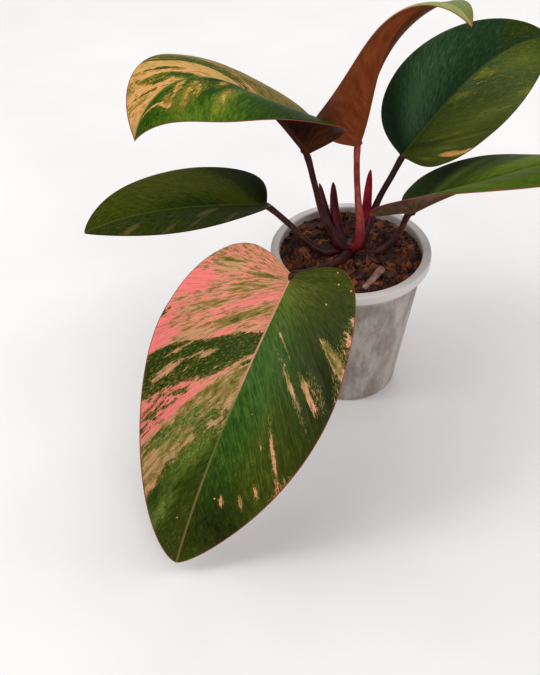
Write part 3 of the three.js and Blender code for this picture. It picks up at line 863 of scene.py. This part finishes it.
def blade_relief(leaf, tau, v, at, from_rib, from_margin):
    """How far each point of the upper face stands off the smooth blade, and the midrib's height below it."""
    fading = 1 - midrib_thinning * np.clip(at, 0, 1)
    ends = np.clip(np.sin(math.pi * tau) * 4, 0, 1)
    groove = groove_depth * fading * ends * np.exp(-(from_rib / (groove_half_width * fading + 0.3)) ** 2)
    swell = np.cos(2 * math.pi * leaf["side_veins"] * tau ** vein_crowding)
    body = np.clip(from_rib / quilt_from_rib, 0, 1) * np.clip(from_margin / quilt_from_margin, 0, 1)
    veins = leaf["quilting"] * body * (swell + 0.8 * np.maximum(0, swell) ** 12)
    near_margin = np.clip(1 - from_margin / wave_reach, 0, 1) ** 2
    wave = leaf["wave"] * near_margin * np.sin(9 * tau + 3 * np.sign(v))
    rib = rib_height * fading * ends * np.exp(-(from_rib / (rib_half_width * fading)) ** 2)
    return wave * ends - groove - veins, rib


def leaf_form(name, leaf, rows, columns, upper, lower):
    """The blade as one closed skin: an upper face, a half-round margin and a lower face with its midrib."""
    midrib = midrib_of(leaf)
    steps = np.arange(1, rows) / rows
    taus = steps - row_crowding * np.sin(2 * math.pi * steps) / (2 * math.pi)
    shares = (np.arange(1, columns + 1) / columns) ** column_crowding
    tau, v = (grid.ravel() for grid in np.meshgrid(
        taus, np.concatenate([-shares[::-1], [0], shares]), indexing="ij"))
    # The two ends of the midrib follow the rows
    count = 2 * columns + 1
    base = len(tau)
    tip = base + 1
    tau = np.append(tau, [0, 1])
    v = np.append(v, [0, 0])
    points = blade_place(leaf, midrib, tau, v)
    across = blade_place(leaf, midrib, tau, v + 0.01) - blade_place(leaf, midrib, tau, v - 0.01)
    down = blade_place(leaf, midrib, tau + 0.002, v) - blade_place(leaf, midrib, tau - 0.002, v)
    normal = np.cross(down, across)
    normal[[base, tip]] = midrib[3][[0, -1]]
    normal /= np.linalg.norm(normal, axis=-1, keepdims=True)
    across[base] = -midrib[1][0]
    across[tip] = midrib[1][-1]
    outward = across / np.linalg.norm(across, axis=-1, keepdims=True)
    outward[v < 0] *= -1

    at, share = flat_place(leaf, v, tau, np.abs(v))
    width = by_half(leaf, v, "width")
    from_rib = share * width
    from_margin = (flat_place(leaf, v, tau, 1)[1] - share) * width
    lift, rib = blade_relief(leaf, tau, v, at, from_rib, from_margin)
    layers = paint(leaf, tau, v)
    first = np.arange(rows - 1) * count
    loop = np.concatenate([[base], first + count - 1, [tip], first[::-1]])
    everything = np.arange(len(tau))

    def shell(chosen, out, drop):
        return (points + normal * (lift - drop)[:, None] + outward * (out * blade_thickness))[chosen]

    shells = [shell(everything, 0, 0)]
    for out, depth in ((0.7 * margin_bulge, 0.15), (margin_bulge, 0.5), (0.7 * margin_bulge, 0.85)):
        shells.append(shell(loop, out, depth * blade_thickness))
    shells.append(shell(everything, 0, blade_thickness + rib))
    chosen = np.concatenate([everything, loop, loop, loop, everything])

    faces = []
    under = len(tau) + 3 * len(loop)
    for c in range(count - 1):
        last = first[-1] + c
        faces += [(base, c, c + 1), (tip, last + 1, last)]
        faces += [(a, a + count, a + count + 1, a + 1) for a in first[:-1] + c]
    upper_faces = len(faces)
    faces += [tuple(under + k for k in reversed(face)) for face in faces]
    rings = [loop, *(len(tau) + k * len(loop) + np.arange(len(loop)) for k in range(3)), loop + under]
    for above, below in zip(rings, rings[1:]):
        faces += zip(above, np.roll(above, -1), np.roll(below, -1), below)
    piece = new_piece(name, np.vstack(shells).tolist(), faces, [upper, lower])
    mesh = piece.data
    sides = np.zeros(len(faces), int)
    sides[upper_faces:2 * upper_faces] = 1
    mesh.polygons.foreach_set("material_index", sides)
    corners = np.zeros(len(mesh.loops), int)
    mesh.loops.foreach_get("vertex_index", corners)
    vein_map = np.stack([0.5 + 0.5 * v, tau], -1)[chosen][corners]
    mesh.uv_layers.new(name="veins").data.foreach_set("uv", vein_map.ravel())
    for title, values in (("guides", layers[:, :3]), ("place", np.stack([from_rib, at, from_margin], -1))):
        attribute = mesh.attributes.new(title, "FLOAT_VECTOR", "POINT")
        attribute.data.foreach_set("vector", values[chosen].ravel())
    mesh.attributes.new("shade", "FLOAT", "POINT").data.foreach_set("value", layers[chosen, shade_layer])
    mesh.update()
    smooth(piece)
    return piece


def leaf_places(tree):
    """The leaf's own coordinates: its vein map, its guides and distances in parts, and its shade."""
    veins = add_node(tree, "ShaderNodeUVMap", uv_map="veins")["UV"]
    guides = add_node(tree, "ShaderNodeAttribute", attribute_name="guides")["Vector"]
    place = add_node(tree, "ShaderNodeAttribute", attribute_name="place")["Vector"]
    shade = add_node(tree, "ShaderNodeAttribute", attribute_name="shade")["Fac"]
    return veins, split(guides), split(place), shade


def waver(value, *noises):
    """Add noises to a value, each mostly within its own amount to either side."""
    for noise, amount in noises:
        value = value + (noise - 0.5) * (amount * 3)
    return value


def upper_skin(name, look, shift):
    """A glossy variegated upper face, where ragged streaks of colour run along the side veins."""
    material, surface, place = new_finish(name, look["roughness"], look["gloss"])
    veins, (pale, blush, veil), (from_rib, at, from_margin), shade = leaf_places(place.tree)
    broad = grain(veins, (7, 24, 1), 3, 0.6, (shift, shift * 3, 0))
    streak = grain(veins, (22, 90, 1), 5, 0.7, (shift, shift * 3, 3))
    line = grain(veins, (9, 300, 1), 3, 0.6, (shift, shift * 3, 5))
    cloud = grain(veins, (18, 64, 1), 5, 0.72, (shift + 9, shift, 4))

    is_pale = map_range(waver(pale, (streak, look["raggedness"]), (line, 0.35), (broad, 0.3)), -0.08, 0.08)
    rosy = waver(blush, (broad, 0.2), (streak, 0.3))
    pale_colour = colour_ramp(rosy, (0.1, 0.5, 0.95), [look["cream"], look["salmon"], look["pink"]])
    veiled = waver(veil, (cloud, 1.2), (line, 0.35))
    pale_colour = blend_colour(map_range(veiled, 0.34, 0.86), pale_colour, look["olive"])
    pale_colour = blend_colour(map_range(veiled, 0.95, 1.3), pale_colour, look["warm"][1])
    pale_colour = blend_colour(map_range(line, 0.44, 0.66) * 0.5, pale_colour, look["olive"])

    # How light the green is follows the shade guide; where a patch stands for a sheen, that lightness is
    # painted sheen
    tone = waver(shade * 0.34 + 0.5, (streak, 0.2), (line, 0.2), (cloud, 0.2))
    cool, warm = (colour_ramp(tone, (0.1, 0.5, 0.9), look[key]) for key in ("cool", "warm"))
    green = blend_colour(map_range(waver(blush, (broad, 0.25)), 0.0, 1.0), cool, warm)
    # Fine specks of paler green, denser where the tissue is more variegated. Where the green is lightest they
    # take the sheen colour, as painted glints.
    speckle = grain(veins, (70, 230, 1), 2, 0.5, (shift, shift, 7))
    speck = map_range(pale * 0.16 + speckle, 0.44, 0.52)
    speck_and_sheen_colour = blend_colour(map_range(shade, 0.5, 1.1), look["olive"], look["sheen"])
    green = blend_colour(speck * 0.75, green, speck_and_sheen_colour)
    colour = blend_colour(is_pale, green, pale_colour)

    # Small round dots, the light midrib and the thin coloured margin
    cells = add_node(place.tree, "ShaderNodeTexVoronoi", {"Vector": place, "Scale": 150.0})
    chance, size, tinge = split(cells["Color"])
    dot = maths("LESS_THAN", cells["Distance"], size * 0.06 + 0.04) * maths("LESS_THAN", chance, look["dots"])
    colour = blend_colour(dot, colour, blend_colour(tinge, look["cream"], look["dot"]))
    band = at * -look["midrib_taper"] + look["midrib_width"]
    in_band = map_range(from_rib - band, 0.3, -0.3) * look["midrib_strength"]
    colour = blend_colour(in_band, colour, colour_ramp(at, *look["midrib"]))
    colour = blend_colour(map_range(from_margin, 0.3, 0.0), colour, look["margin"])

    pebble = grain(place, (1700, 1700, 1700), 2, 0.6)
    relief = is_pale * -0.25 + (line * 0.7 + pebble * 0.5)
    connect(surface, Base_Color=colour, Roughness=broad * 0.2 + (look["roughness"] - 0.1),
            Normal=bump(relief, 0.14, 0.6))
    return material


def lower_skin(name, look, shift):
    """A satin underside with a light midrib, where pale areas of the upper side show through a little."""
    material, surface, place = new_finish(name, gloss=look["gloss"])
    veins, guides, distances, shade = leaf_places(place.tree)
    broad = grain(veins, (8, 24, 1), 3, 0.6, (shift + 2, shift * 1.7, 0))
    streak = grain(veins, (14, 90, 1), 4, 0.62, (shift + 2, shift * 1.7, 3))
    line = grain(veins, (8, 380, 1), 2, 0.6, (shift + 2, shift * 1.7, 5))
    # The shade guide darkens the underside too; on the centre leaf's left half it is painted shade
    tone = shade * 0.2 + (broad * 0.6 + line * 0.4)
    colour = colour_ramp(tone, (0.32, 0.5, 0.68), look["under"])
    shown = map_range(waver(guides[0], (streak, 0.8)), -0.1, 0.2)
    colour = blend_colour(shown * look["show_through"], colour, look["under"][2])
    colour = blend_colour(map_range(distances[0], 2.2, 0.9) * 0.8, colour, look["under_rib"])
    colour = blend_colour(map_range(distances[2], 0.5, 0.15), colour, look["margin"])
    connect(surface, Base_Color=colour, Roughness=broad * 0.25 + 0.26, Normal=bump(line, 0.12, 0.5))
    return material


# The sheen colour is a painted sheen, taken by specks where the green is lightest
plain_look = {
    "sheen": (150, 156, 100), "dot": (244, 150, 90), "roughness": 0.36, "gloss": 0.12, "raggedness": 1.5,
    "midrib_width": 0.75, "midrib_taper": 0.4, "midrib_strength": 0.6,
    "under": ((48, 24, 16), (72, 46, 26), (112, 84, 48)), "under_rib": (118, 70, 46), "show_through": 0.35,
}


def make_leaf(name, leaf, look, shift, rows, columns):
    look = {**plain_look, **look}
    upper = upper_skin(f"{name}_upper", look, shift)
    piece = leaf_form(f"leaf_{name}", leaf, rows, columns, upper, lower_skin(f"{name}_under", look, shift))
    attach(piece, "root")
    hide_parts(f"blade_{name}")


make_leaf("front", {
    "base": (-36.4, -58.1, 122.8), "length": 167, "left_width": 55, "right_width": 54.5,
    "heading": (-122, -5, 6), "climb": (-34, -13, -9), "roll": (-7, -24, 5), "fade": 1,
    "left_fold": (16.4, 3.6), "right_fold": (9.8, 20.6), "left_curl": (6.4, 33.3), "right_curl": (7.8, 55),
    "left_lobe": 0.104, "right_lobe": 0.081, "fullness": 0.7, "pointing": 0,
    "wave": 0.5, "side_veins": 9, "quilting": 0.17,
    "left_tissue": (-1.6, 0.58, 0.3, -0.05), "right_tissue": (1.1, 0.72, 0.5, -0.1),
    "right_patches": [
        # The pink half: olive veils and brighter pinks
        ("olive", 0.3, 0.08, 0.3, 0.42, 0.024),
        ("olive", 0.252, 0.64, 0.258, 0.9, 0.014),
        ("olive", 0.335, 0.86, 0.33, 1.02, 0.01),
        ("thin olive", 0.395, 0.14, 0.395, 0.52, 0.03),
        ("olive", 0.59, 0.06, 0.58, 0.48, 0.018),
        ("thin olive", 0.47, 0.42, 0.47, 0.78, 0.02),
        ("salmon", 0.59, 0.52, 0.58, 0.84, 0.018),
        ("pink", 0.355, 0.7, 0.355, 1.1, 0.042),
        ("pink", 0.47, 0.88, 0.47, 1.1, 0.06),
        ("pink", 0.545, 0.8, 0.545, 1.12, 0.034),
        ("salmon", 0.285, 0.5, 0.285, 0.8, 0.03),
        ("pink", 0.512, 0, 0.512, 0.46, 0.018),
        ("pink", 0.638, 0.3, 0.632, 0.5, 0.016),
        ("salmon", 0.655, 0.06, 0.655, 0.26, 0.012),
        # The dark band across it, with paler islands
        ("flecked green", 0.782, -0.5, 0.574, 1.4, 0.054),
        ("flecked green", 0.612, 0.66, 0.618, 1.25, 0.04),
        ("few flecks", 0.69, 0.56, 0.67, 1.1, 0.018),
        ("salmon", 0.65, 0.72, 0.648, 0.9, 0.009),
        ("salmon", 0.609, 0.67, 0.609, 0.79, 0.005),
        ("beige", 0.67, 0.41, 0.67, 0.54, 0.007),
        ("beige", 0.653, 0.53, 0.653, 0.63, 0.004),
        ("few flecks", 0.736, 0.1, 0.73, 0.5, 0.012),
        ("green", 0.44, 0.95, 0.47, 1.05, 0.012),
        # Bright pink, beige, and green mottle with painted sheen and painted glints below the band
        ("mottled", 0.812, -0.5, 0.815, 1.4, 0.05),
        ("pink flecks", 0.74, 0.5, 0.722, 1.2, 0.036),
        ("salmon", 0.738, -0.08, 0.756, 0.42, 0.004),
        ("pink", 0.756, 0.26, 0.763, 0.74, 0.012),
        ("sage", 0.79, -0.3, 0.78, 0.62, 0.028),
        ("beige", 0.8, -0.06, 0.802, 0.1, 0.022),
        ("sheened mottle", 0.812, 0.26, 0.818, 0.9, 0.026),
        ("salmon", 0.827, 0, 0.827, 0.12, 0.005),
        ("salmon", 0.846, 0.11, 0.846, 0.22, 0.004),
        ("beige", 0.848, 0.42, 0.831, 0.84, 0.008),
        ("beige", 0.828, 0.78, 0.838, 1.12, 0.03),
        ("green", 0.945, -0.5, 0.95, 1.5, 0.086),
        # Painted glints: light green with sheen-coloured specks where the surface catches the light
        ("glints", 0.872, 0.1, 0.876, 0.66, 0.018),
        ("glints", 0.912, 0.62, 0.92, 1.02, 0.014),
        ("bronze", 0.985, -0.5, 0.985, 1.5, 0.05),
    ],
    "left_patches": [
        # The green half: brighter beside the midrib, olive towards the margin
        ("light", 0.5, -0.6, 0.5, 0.5, 0.2),
        ("cool", 0.76, -0.4, 0.74, 0.6, 0.14),
        ("bronze", 0.2, -0.3, 0.25, 1.3, 0.15),
        ("dark", 0.5, 0.45, 0.48, 1.3, 0.16),
        ("bronze", 0.72, 0.6, 0.7, 1.3, 0.2),
        ("few flecks", 0.4, 0.82, 0.38, 1.2, 0.11),
        ("beige", 0.626, 0.07, 0.62, 0.36, 0.005),
        ("beige", 0.657, 0.29, 0.64, 0.8, 0.009),
        ("beige", 0.601, 0.53, 0.582, 0.84, 0.014),
        ("salmon", 0.592, 0.7, 0.584, 0.86, 0.008),
        ("few flecks", 0.56, 0.6, 0.55, 0.96, 0.03),
        ("olive", 0.425, 0.59, 0.412, 0.97, 0.022),
        ("salmon", 0.345, 0.94, 0.345, 1.04, 0.008),
        ("salmon", 0.3, 0.94, 0.3, 1.04, 0.006),
        ("salmon", 0.749, 0.54, 0.763, 0.93, 0.007),
        ("beige", 0.786, 0.56, 0.786, 0.64, 0.005),
        ("salmon", 0.824, 0.78, 0.824, 0.92, 0.005),
        ("salmon", 0.864, 0.72, 0.864, 0.86, 0.005),
        ("salmon", 0.905, 0.48, 0.905, 0.62, 0.005),
        ("pink flecks", 0.75, 0.95, 0.75, 1.06, 0.045),
        ("dark", 0.96, 0.2, 0.88, 1.4, 0.04),
        ("bronze", 0.99, -0.5, 0.99, 1.5, 0.03),
    ],
}, {
    "cool": ((14, 34, 4), (40, 76, 16), (90, 126, 44)),
    "warm": ((26, 30, 4), (64, 74, 8), (124, 126, 50)),
    "olive": (138, 120, 58), "cream": (184, 158, 110), "salmon": (214, 160, 124),
    "pink": (248, 136, 134),
    "midrib": ((0, 0.38, 0.46, 0.6, 0.72, 1), [
        (220, 156, 134), (210, 154, 130), (134, 132, 66), (98, 116, 48), (134, 118, 72), (128, 106, 62)]),
    "midrib_width": 0.45, "midrib_taper": -0.1, "midrib_strength": 0.85,
    "margin": (140, 72, 66), "dots": 0.2, "gloss": 0.1,
}, 0.37, 300, 30)


# Upper left leaf
# A leaf that arches over and droops at its tip. The near half is green with yellow flecks, the far half is
# cream and peach with green streaks, and its dark maroon underside shows beside the stalk.

make_leaf("upper_left", {
    "base": (-25, 13.5, 153), "length": 138, "left_width": 53.6, "right_width": 50.4,
    "heading": (165, 80, -10), "climb": (52, 28, -151), "roll": (19, -30, -8), "fade": 2.2,
    "left_fold": (85.8, -18.6), "right_fold": (35.9, 4.2),
    "left_curl": (-79.2, 10), "right_curl": (-44.3, -38),
    "left_lobe": 0.029, "right_lobe": 0.02, "fullness": 0.7, "pointing": 0.39,
    "wave": 0.3, "side_veins": 9, "quilting": 0.06,
    "left_tissue": (-1.4, 0.4, 0.3, 0.1), "right_tissue": (0.5, 0.3, 0.35, 0.2),
    "right_patches": [
        # The cream half, darkened to ochre over the lobe as painted shade, with green streaks that run on
        # towards the tip
        ("olive", 0.35, -0.5, 0.35, 1.5, 0.42),
        ("sage", 0.745, 0.5, 0.76, 1.2, 0.04),
        ("green", 0.772, 0.3, 0.765, 1.1, 0.007),
        ("green", 0.792, 0.1, 0.79, 1.1, 0.006),
        ("green", 0.808, 0.24, 0.812, 1.1, 0.006),
        ("sage", 0.82, 0.56, 0.826, 1.1, 0.006),
        ("cream", 0.842, -0.2, 0.844, 1.2, 0.013),
        ("green", 0.866, 0.48, 0.863, 0.8, 0.006),
        ("salmon", 0.875, -0.1, 0.875, 1, 0.006),
        ("mottled", 0.893, -0.1, 0.899, 1.05, 0.013),
        ("green", 0.896, 0.04, 0.892, 0.44, 0.006),
        ("green", 0.915, 0.36, 0.915, 0.6, 0.006),
        ("salmon", 0.922, 0.44, 0.926, 0.96, 0.007),
        ("beige", 0.937, 0.1, 0.941, 0.98, 0.006),
        ("salmon", 0.955, -0.2, 0.958, 0.9, 0.009),
        ("olive", 0.946, 0.16, 0.949, 0.8, 0.002),
        ("green", 0.931, 0.3, 0.934, 0.76, 0.002),
    ],
    "left_patches": [
        # The green half, with cream streaks near the tip and yellow flecks along the middle
        ("mottled", 0.914, -0.05, 0.92, 0.7, 0.018),
        ("salmon", 0.99, 0.02, 0.924, 0.58, 0.006),
        ("sage", 0.93, 0.38, 0.922, 0.66, 0.008),
        ("sage", 0.912, 0.02, 0.914, 0.36, 0.005),
        ("yellow flecks", 0.885, 0.1, 0.892, 0.86, 0.018),
        ("yellow", 0.866, 0.24, 0.864, 0.6, 0.01),
        ("sage", 0.886, 0.56, 0.882, 0.84, 0.003),
        ("yellow flecks", 0.833, 0.1, 0.833, 0.42, 0.018),
        ("yellow", 0.836, 0.12, 0.832, 0.36, 0.007),
        ("yellow", 0.886, 0.16, 0.89, 0.6, 0.007),
        ("yellow flecks", 0.795, 0.36, 0.795, 0.88, 0.026),
        ("yellow", 0.8, 0.44, 0.798, 0.72, 0.008),
        # Painted sheen: a lighter green band near the margin where the surface catches the light
        ("light", 0.85, 0.8, 0.85, 1.2, 0.1),
        ("dark", 0.54, -0.2, 0.5, 1.2, 0.12),
        ("dark", 0.82, -0.3, 0.84, 0.4, 0.05),
    ],
}, {
    "cool": ((18, 36, 10), (40, 72, 16), (84, 122, 38)),
    "warm": ((28, 40, 8), (62, 86, 16), (130, 140, 46)),
    "pink": (176, 166, 84), "salmon": (216, 162, 108), "cream": (200, 164, 100),
    "olive": (142, 116, 48), "margin": (140, 70, 70), "dots": 0.02, "gloss": 0.02,
    "raggedness": 1.3, "under": ((50, 26, 18), (76, 44, 28), (108, 72, 44)), "under_rib": (92, 54, 36),
    # The pale midrib is widened near the stalk, where the fold's crest catches the light: a pale midrib with
    # a painted highlight along the crest
    "midrib": ((0, 0.52, 0.62), [(206, 196, 150), (190, 180, 130), (84, 108, 38)]),
    "midrib_width": 1.3, "midrib_taper": 0.9, "midrib_strength": 0.75,
}, 1.9, 180, 26)


# Left leaf
# A smaller, dark olive leaf held nearly level, with a faint light midrib and a few dull beige patches.

make_leaf("left", {
    "base": (-49.1, 7.9, 123.3), "length": 108, "left_width": 34.7, "right_width": 38.3,
    "heading": (190.5, 17.5, 0), "climb": (7, 15, -32), "roll": (6, -21, 0), "fade": 1,
    "left_fold": (27.2, 13.5), "right_fold": (22.5, 12.2),
    "left_curl": (-7, -16.1), "right_curl": (-19.3, -59.6),
    "left_lobe": 0.02, "right_lobe": 0.047, "fullness": 0.66, "pointing": 0.14,
    "wave": 0.3, "side_veins": 8, "quilting": 0.05,
    "left_tissue": (-1.1, 0.6, 0.6, 0.3), "right_tissue": (-1.5, 0.9, 0.6, 0.5),
    "right_patches": [
        ("dark", 0.15, -0.4, 0.22, 1.4, 0.19),
        ("light", 0.7, 0.1, 0.7, 1, 0.16),
        ("cool", 0.78, -0.3, 0.78, 0.22, 0.08),
    ],
    "left_patches": [
        ("cream", 0.695, 0.24, 0.695, 0.62, 0.026),
        ("salmon", 0.67, 0.66, 0.67, 0.97, 0.01),
        ("salmon", 0.757, 0.76, 0.757, 1.02, 0.012),
        ("cream", 0.888, 0.62, 0.888, 1.05, 0.014),
        ("salmon", 0.48, 0.62, 0.48, 1.05, 0.022),
    ],
}, {
    "cool": ((12, 22, 8), (30, 48, 14), (60, 84, 28)),
    "warm": ((16, 18, 6), (42, 50, 8), (84, 92, 20)), "gloss": 0.02,
    "cream": (92, 94, 46), "salmon": (92, 80, 46), "pink": (96, 76, 50),
    "olive": (70, 74, 30), "margin": (64, 32, 34), "dots": 0.01,
    "midrib": ((0, 1), [(78, 92, 56), (84, 96, 46)]), "midrib_strength": 0.7,
}, 3.3, 150, 24)


# Centre leaf
# The youngest leaf, upright and half unrolled. Its copper-brown underside faces the viewer, and its pale
# green upper side shows where the tip arches over to the right.

make_leaf("centre", {
    "base": (2.9, 26.5, 149.7), "length": 137, "left_width": 39.5, "right_width": 37,
    "heading": (4, -36, -38), "climb": (71, 88, -193), "roll": (-43, 40.5, -20), "fade": 2.9,
    "left_fold": (43, 9), "right_fold": (45, -1), "left_curl": (51, 5), "right_curl": (27, -52),
    "left_lobe": 0.03, "right_lobe": 0.03, "fullness": 0.6, "pointing": 0.35,
    "wave": 0.2, "side_veins": 9, "quilting": 0.05,
    # The left half's low shade darkens both its faces: painted shade on the half turned from the light
    "left_tissue": (-0.6, 0.1, 0.3, -0.9), "right_tissue": (-0.6, 0.2, 0.3, 0.35),
    "left_patches": [], "right_patches": [],
}, {
    "cool": ((92, 108, 44), (122, 138, 64), (168, 176, 112)),
    "warm": ((96, 96, 40), (140, 138, 66), (176, 170, 112)),
    "cream": (206, 186, 128), "salmon": (210, 172, 128), "pink": (214, 160, 128),
    "olive": (142, 150, 78), "margin": (150, 80, 56), "dots": 0.01,
    "midrib": ((0, 1), [(170, 150, 84), (206, 170, 130)]),
    "under": ((116, 56, 30), (142, 70, 40), (166, 94, 56)),
    "under_rib": (146, 80, 38), "show_through": 0.12,
}, 5.1, 160, 24)


# Back right leaf
# A broad leaf that stands up behind the others, its left half blue-green and its right half marbled with
# olive and yellow, with one peach patch near its base.

make_leaf("back_right", {
    "base": (30.5, 30, 140.2), "length": 139, "left_width": 35.3, "right_width": 42.4,
    "heading": (54, -25, 0), "climb": (13, 53, -80), "roll": (5, 18, 0), "fade": 1,
    "left_fold": (49.7, 13.3), "right_fold": (11.6, 0.8), "left_curl": (-15, -12.7), "right_curl": (17.3, 14),
    "left_lobe": 0.02, "right_lobe": 0.066, "fullness": 0.62, "pointing": 0,
    "wave": 0.4, "side_veins": 9, "quilting": 0.04,
    "left_tissue": (-1.7, 0.1, 0.3, -0.1), "right_tissue": (-0.35, 0.85, 0.75, 0.1),
    "left_patches": [
        ("dark", 0.25, -0.4, 0.3, 1.4, 0.2),
        # Painted sheen: a lighter, greyer green across the middle of the left half
        ("light", 0.56, 0.05, 0.6, 0.85, 0.14),
        ("bronze", 0.95, 0.3, 0.94, 1.2, 0.04),
    ],
    "right_patches": [
        ("cool", 0.84, -0.4, 0.83, 0.4, 0.055),
        ("dark", 0.45, 0.05, 0.45, 0.38, 0.07),
        ("yellow", 0.79, 0.02, 0.79, 0.26, 0.016),
        ("yellow", 0.86, 0.08, 0.86, 0.36, 0.014),
        ("yellow flecks", 0.905, 0.3, 0.9, 0.95, 0.04),
        ("yellow flecks", 0.6, 0.3, 0.6, 1, 0.08),
        ("yellow", 0.525, 0.2, 0.525, 0.64, 0.018),
        ("yellow flecks", 0.37, 0.2, 0.37, 0.85, 0.06),
        ("yellow", 0.35, 0.4, 0.35, 0.7, 0.014),
        ("yellow", 0.44, 0.46, 0.44, 0.86, 0.016),
        ("yellow", 0.64, 0.6, 0.64, 0.94, 0.018),
        ("yellow", 0.2, 0.32, 0.2, 0.68, 0.03),
        ("cream", 0.28, 0.56, 0.28, 0.98, 0.034),
        ("cream", 0.3, 0.9, 0.3, 1.05, 0.024),
        ("yellow", 0.72, 0.88, 0.72, 1.06, 0.03),
    ],
}, {
    "cool": ((14, 32, 16), (36, 62, 34), (76, 104, 76)),
    "warm": ((22, 32, 6), (52, 66, 10), (100, 108, 24)),
    "cream": (222, 162, 100), "salmon": (126, 118, 36), "pink": (112, 114, 28),
    "olive": (78, 88, 18), "margin": (80, 56, 40), "dots": 0.02, "gloss": 0.05,
    "midrib": ((0, 1), [(84, 90, 36), (78, 92, 34)]), "midrib_strength": 0.4,
}, 7.7, 170, 26)


# Right leaf
# A glossy green leaf that reaches to the right, with a light midrib and a thin red margin. A strip of its
# grey-brown underside shows near the stalk.

make_leaf("right", {
    "base": (30.8, -5.1, 124.1), "length": 149, "left_width": 48, "right_width": 43,
    "heading": (-17, 27, 0), "climb": (41, -48.5, 5), "roll": (-12, -13, 0), "fade": 1,
    "left_fold": (12, -5), "right_fold": (37, -18), "left_curl": (1, -38), "right_curl": (-15, -25),
    "left_lobe": 0.106, "right_lobe": 0.106, "fullness": 0.6, "pointing": 0.35,
    "wave": 0.3, "side_veins": 9, "quilting": 0.05,
    "left_tissue": (-1.3, 0.9, 0.7, -0.3), "right_tissue": (-0.9, 0.9, 0.8, 0.3),
    "left_patches": [
        ("dark", 0.5, 0.2, 0.5, 0.9, 0.12),
        # Lighter green beside the midrib, partly a painted sheen
        ("light", 0.8, 0, 0.8, 0.6, 0.12),
        ("yellow flecks", 0.52, 0.1, 0.5, 0.9, 0.06),
        ("yellow flecks", 0.78, 0.2, 0.78, 0.9, 0.04),
    ],
    "right_patches": [
        ("yellow flecks", 0.56, 0.2, 0.56, 0.9, 0.06),
    ],
}, {
    "cool": ((16, 36, 8), (38, 70, 14), (76, 116, 34)),
    "warm": ((26, 38, 6), (56, 78, 12), (104, 124, 30)), "gloss": 0.01,
    "cream": (120, 124, 40), "salmon": (124, 120, 44), "pink": (116, 128, 40),
    "olive": (88, 98, 28), "margin": (150, 66, 76), "dots": 0.02,
    "midrib": ((0, 1), [(110, 116, 54), (134, 144, 76)]), "midrib_strength": 0.85,
    "under": ((58, 42, 30), (88, 68, 50), (126, 100, 80)), "under_rib": (98, 74, 50),
}, 9.2, 160, 24)


# Studio
# A plain pale floor, soft lights behind, to the right, to the left and on the viewer's side, and the camera.

floor_reach = 4000
light_aim = (0, 0, 0.12)


def studio_floor():
    material, surface, place = new_finish("pale_floor", roughness=0.7, gloss=0.1)
    faint = grain(place, (8, 8, 8), 2)
    connect(surface, Base_Color=colour_ramp(faint, (0.3, 0.7), [(231, 230, 227), (236, 235, 233)]))
    corners = [(x * floor_reach, y * floor_reach, 0) for x, y in ((-1, -1), (1, -1), (1, 1), (-1, 1))]
    return new_piece("floor", corners, [(0, 1, 2, 3)], [material])


def soft_light(name, azimuth, elevation, distance, size, power):
    """A square soft light that faces the plant. Its azimuth runs from +Y towards +X."""
    round_to = math.radians(azimuth)
    up = math.radians(elevation)
    aim = Vector(light_aim)
    away = Vector((math.sin(round_to) * math.cos(up), math.cos(round_to) * math.cos(up), math.sin(up)))
    lamp = bpy.data.lights.new(name, "AREA")
    lamp.shape = "SQUARE"
    lamp.size = size
    lamp.energy = power
    holder = bpy.data.objects.new(name, lamp)
    holder.location = aim + away * distance
    holder.rotation_euler = (-away).to_track_quat("-Z", "Y").to_euler()
    bpy.context.scene.collection.objects.link(holder)


studio_floor()
soft_light("top_light", -50, 82, 1.5, 2.4, 15.5)
soft_light("back_light", 14, 42, 1.3, 0.6, 3.0)
soft_light("right_light", 98, 24, 1.3, 0.5, 1.5)
soft_light("left_light", -106, 38, 1.3, 0.4, 4.0)
soft_light("viewer_light", 168, 34, 1.4, 0.4, 3.5)

world = bpy.data.worlds.new("studio_air")
world.use_nodes = True
glow = world.node_tree.nodes["Background"].inputs
glow["Color"].default_value = (0.96, 0.94, 0.97, 1)
glow["Strength"].default_value = 0.52
bpy.context.scene.world = world
bpy.context.scene.view_settings.view_transform = "Standard"
bpy.context.scene.view_settings.gamma = 0.88

camera_place = (-48.8, -515.2, 478.2)
camera_pitch = math.radians(41.2)
camera_tilt = math.radians(-1.08)
lens = bpy.data.cameras.new("viewer")
lens.sensor_width = 36
lens.lens = 57.6
lens.clip_start = 0.02
camera = bpy.data.objects.new("viewer", lens)
turn = Matrix.Rotation(math.pi / 2 - camera_pitch, 4, "X") @ Matrix.Rotation(camera_tilt, 4, "Z")
camera.matrix_world = Matrix.Translation(Vector(camera_place) * MM) @ turn
bpy.context.scene.collection.objects.link(camera)
bpy.context.scene.camera = camera
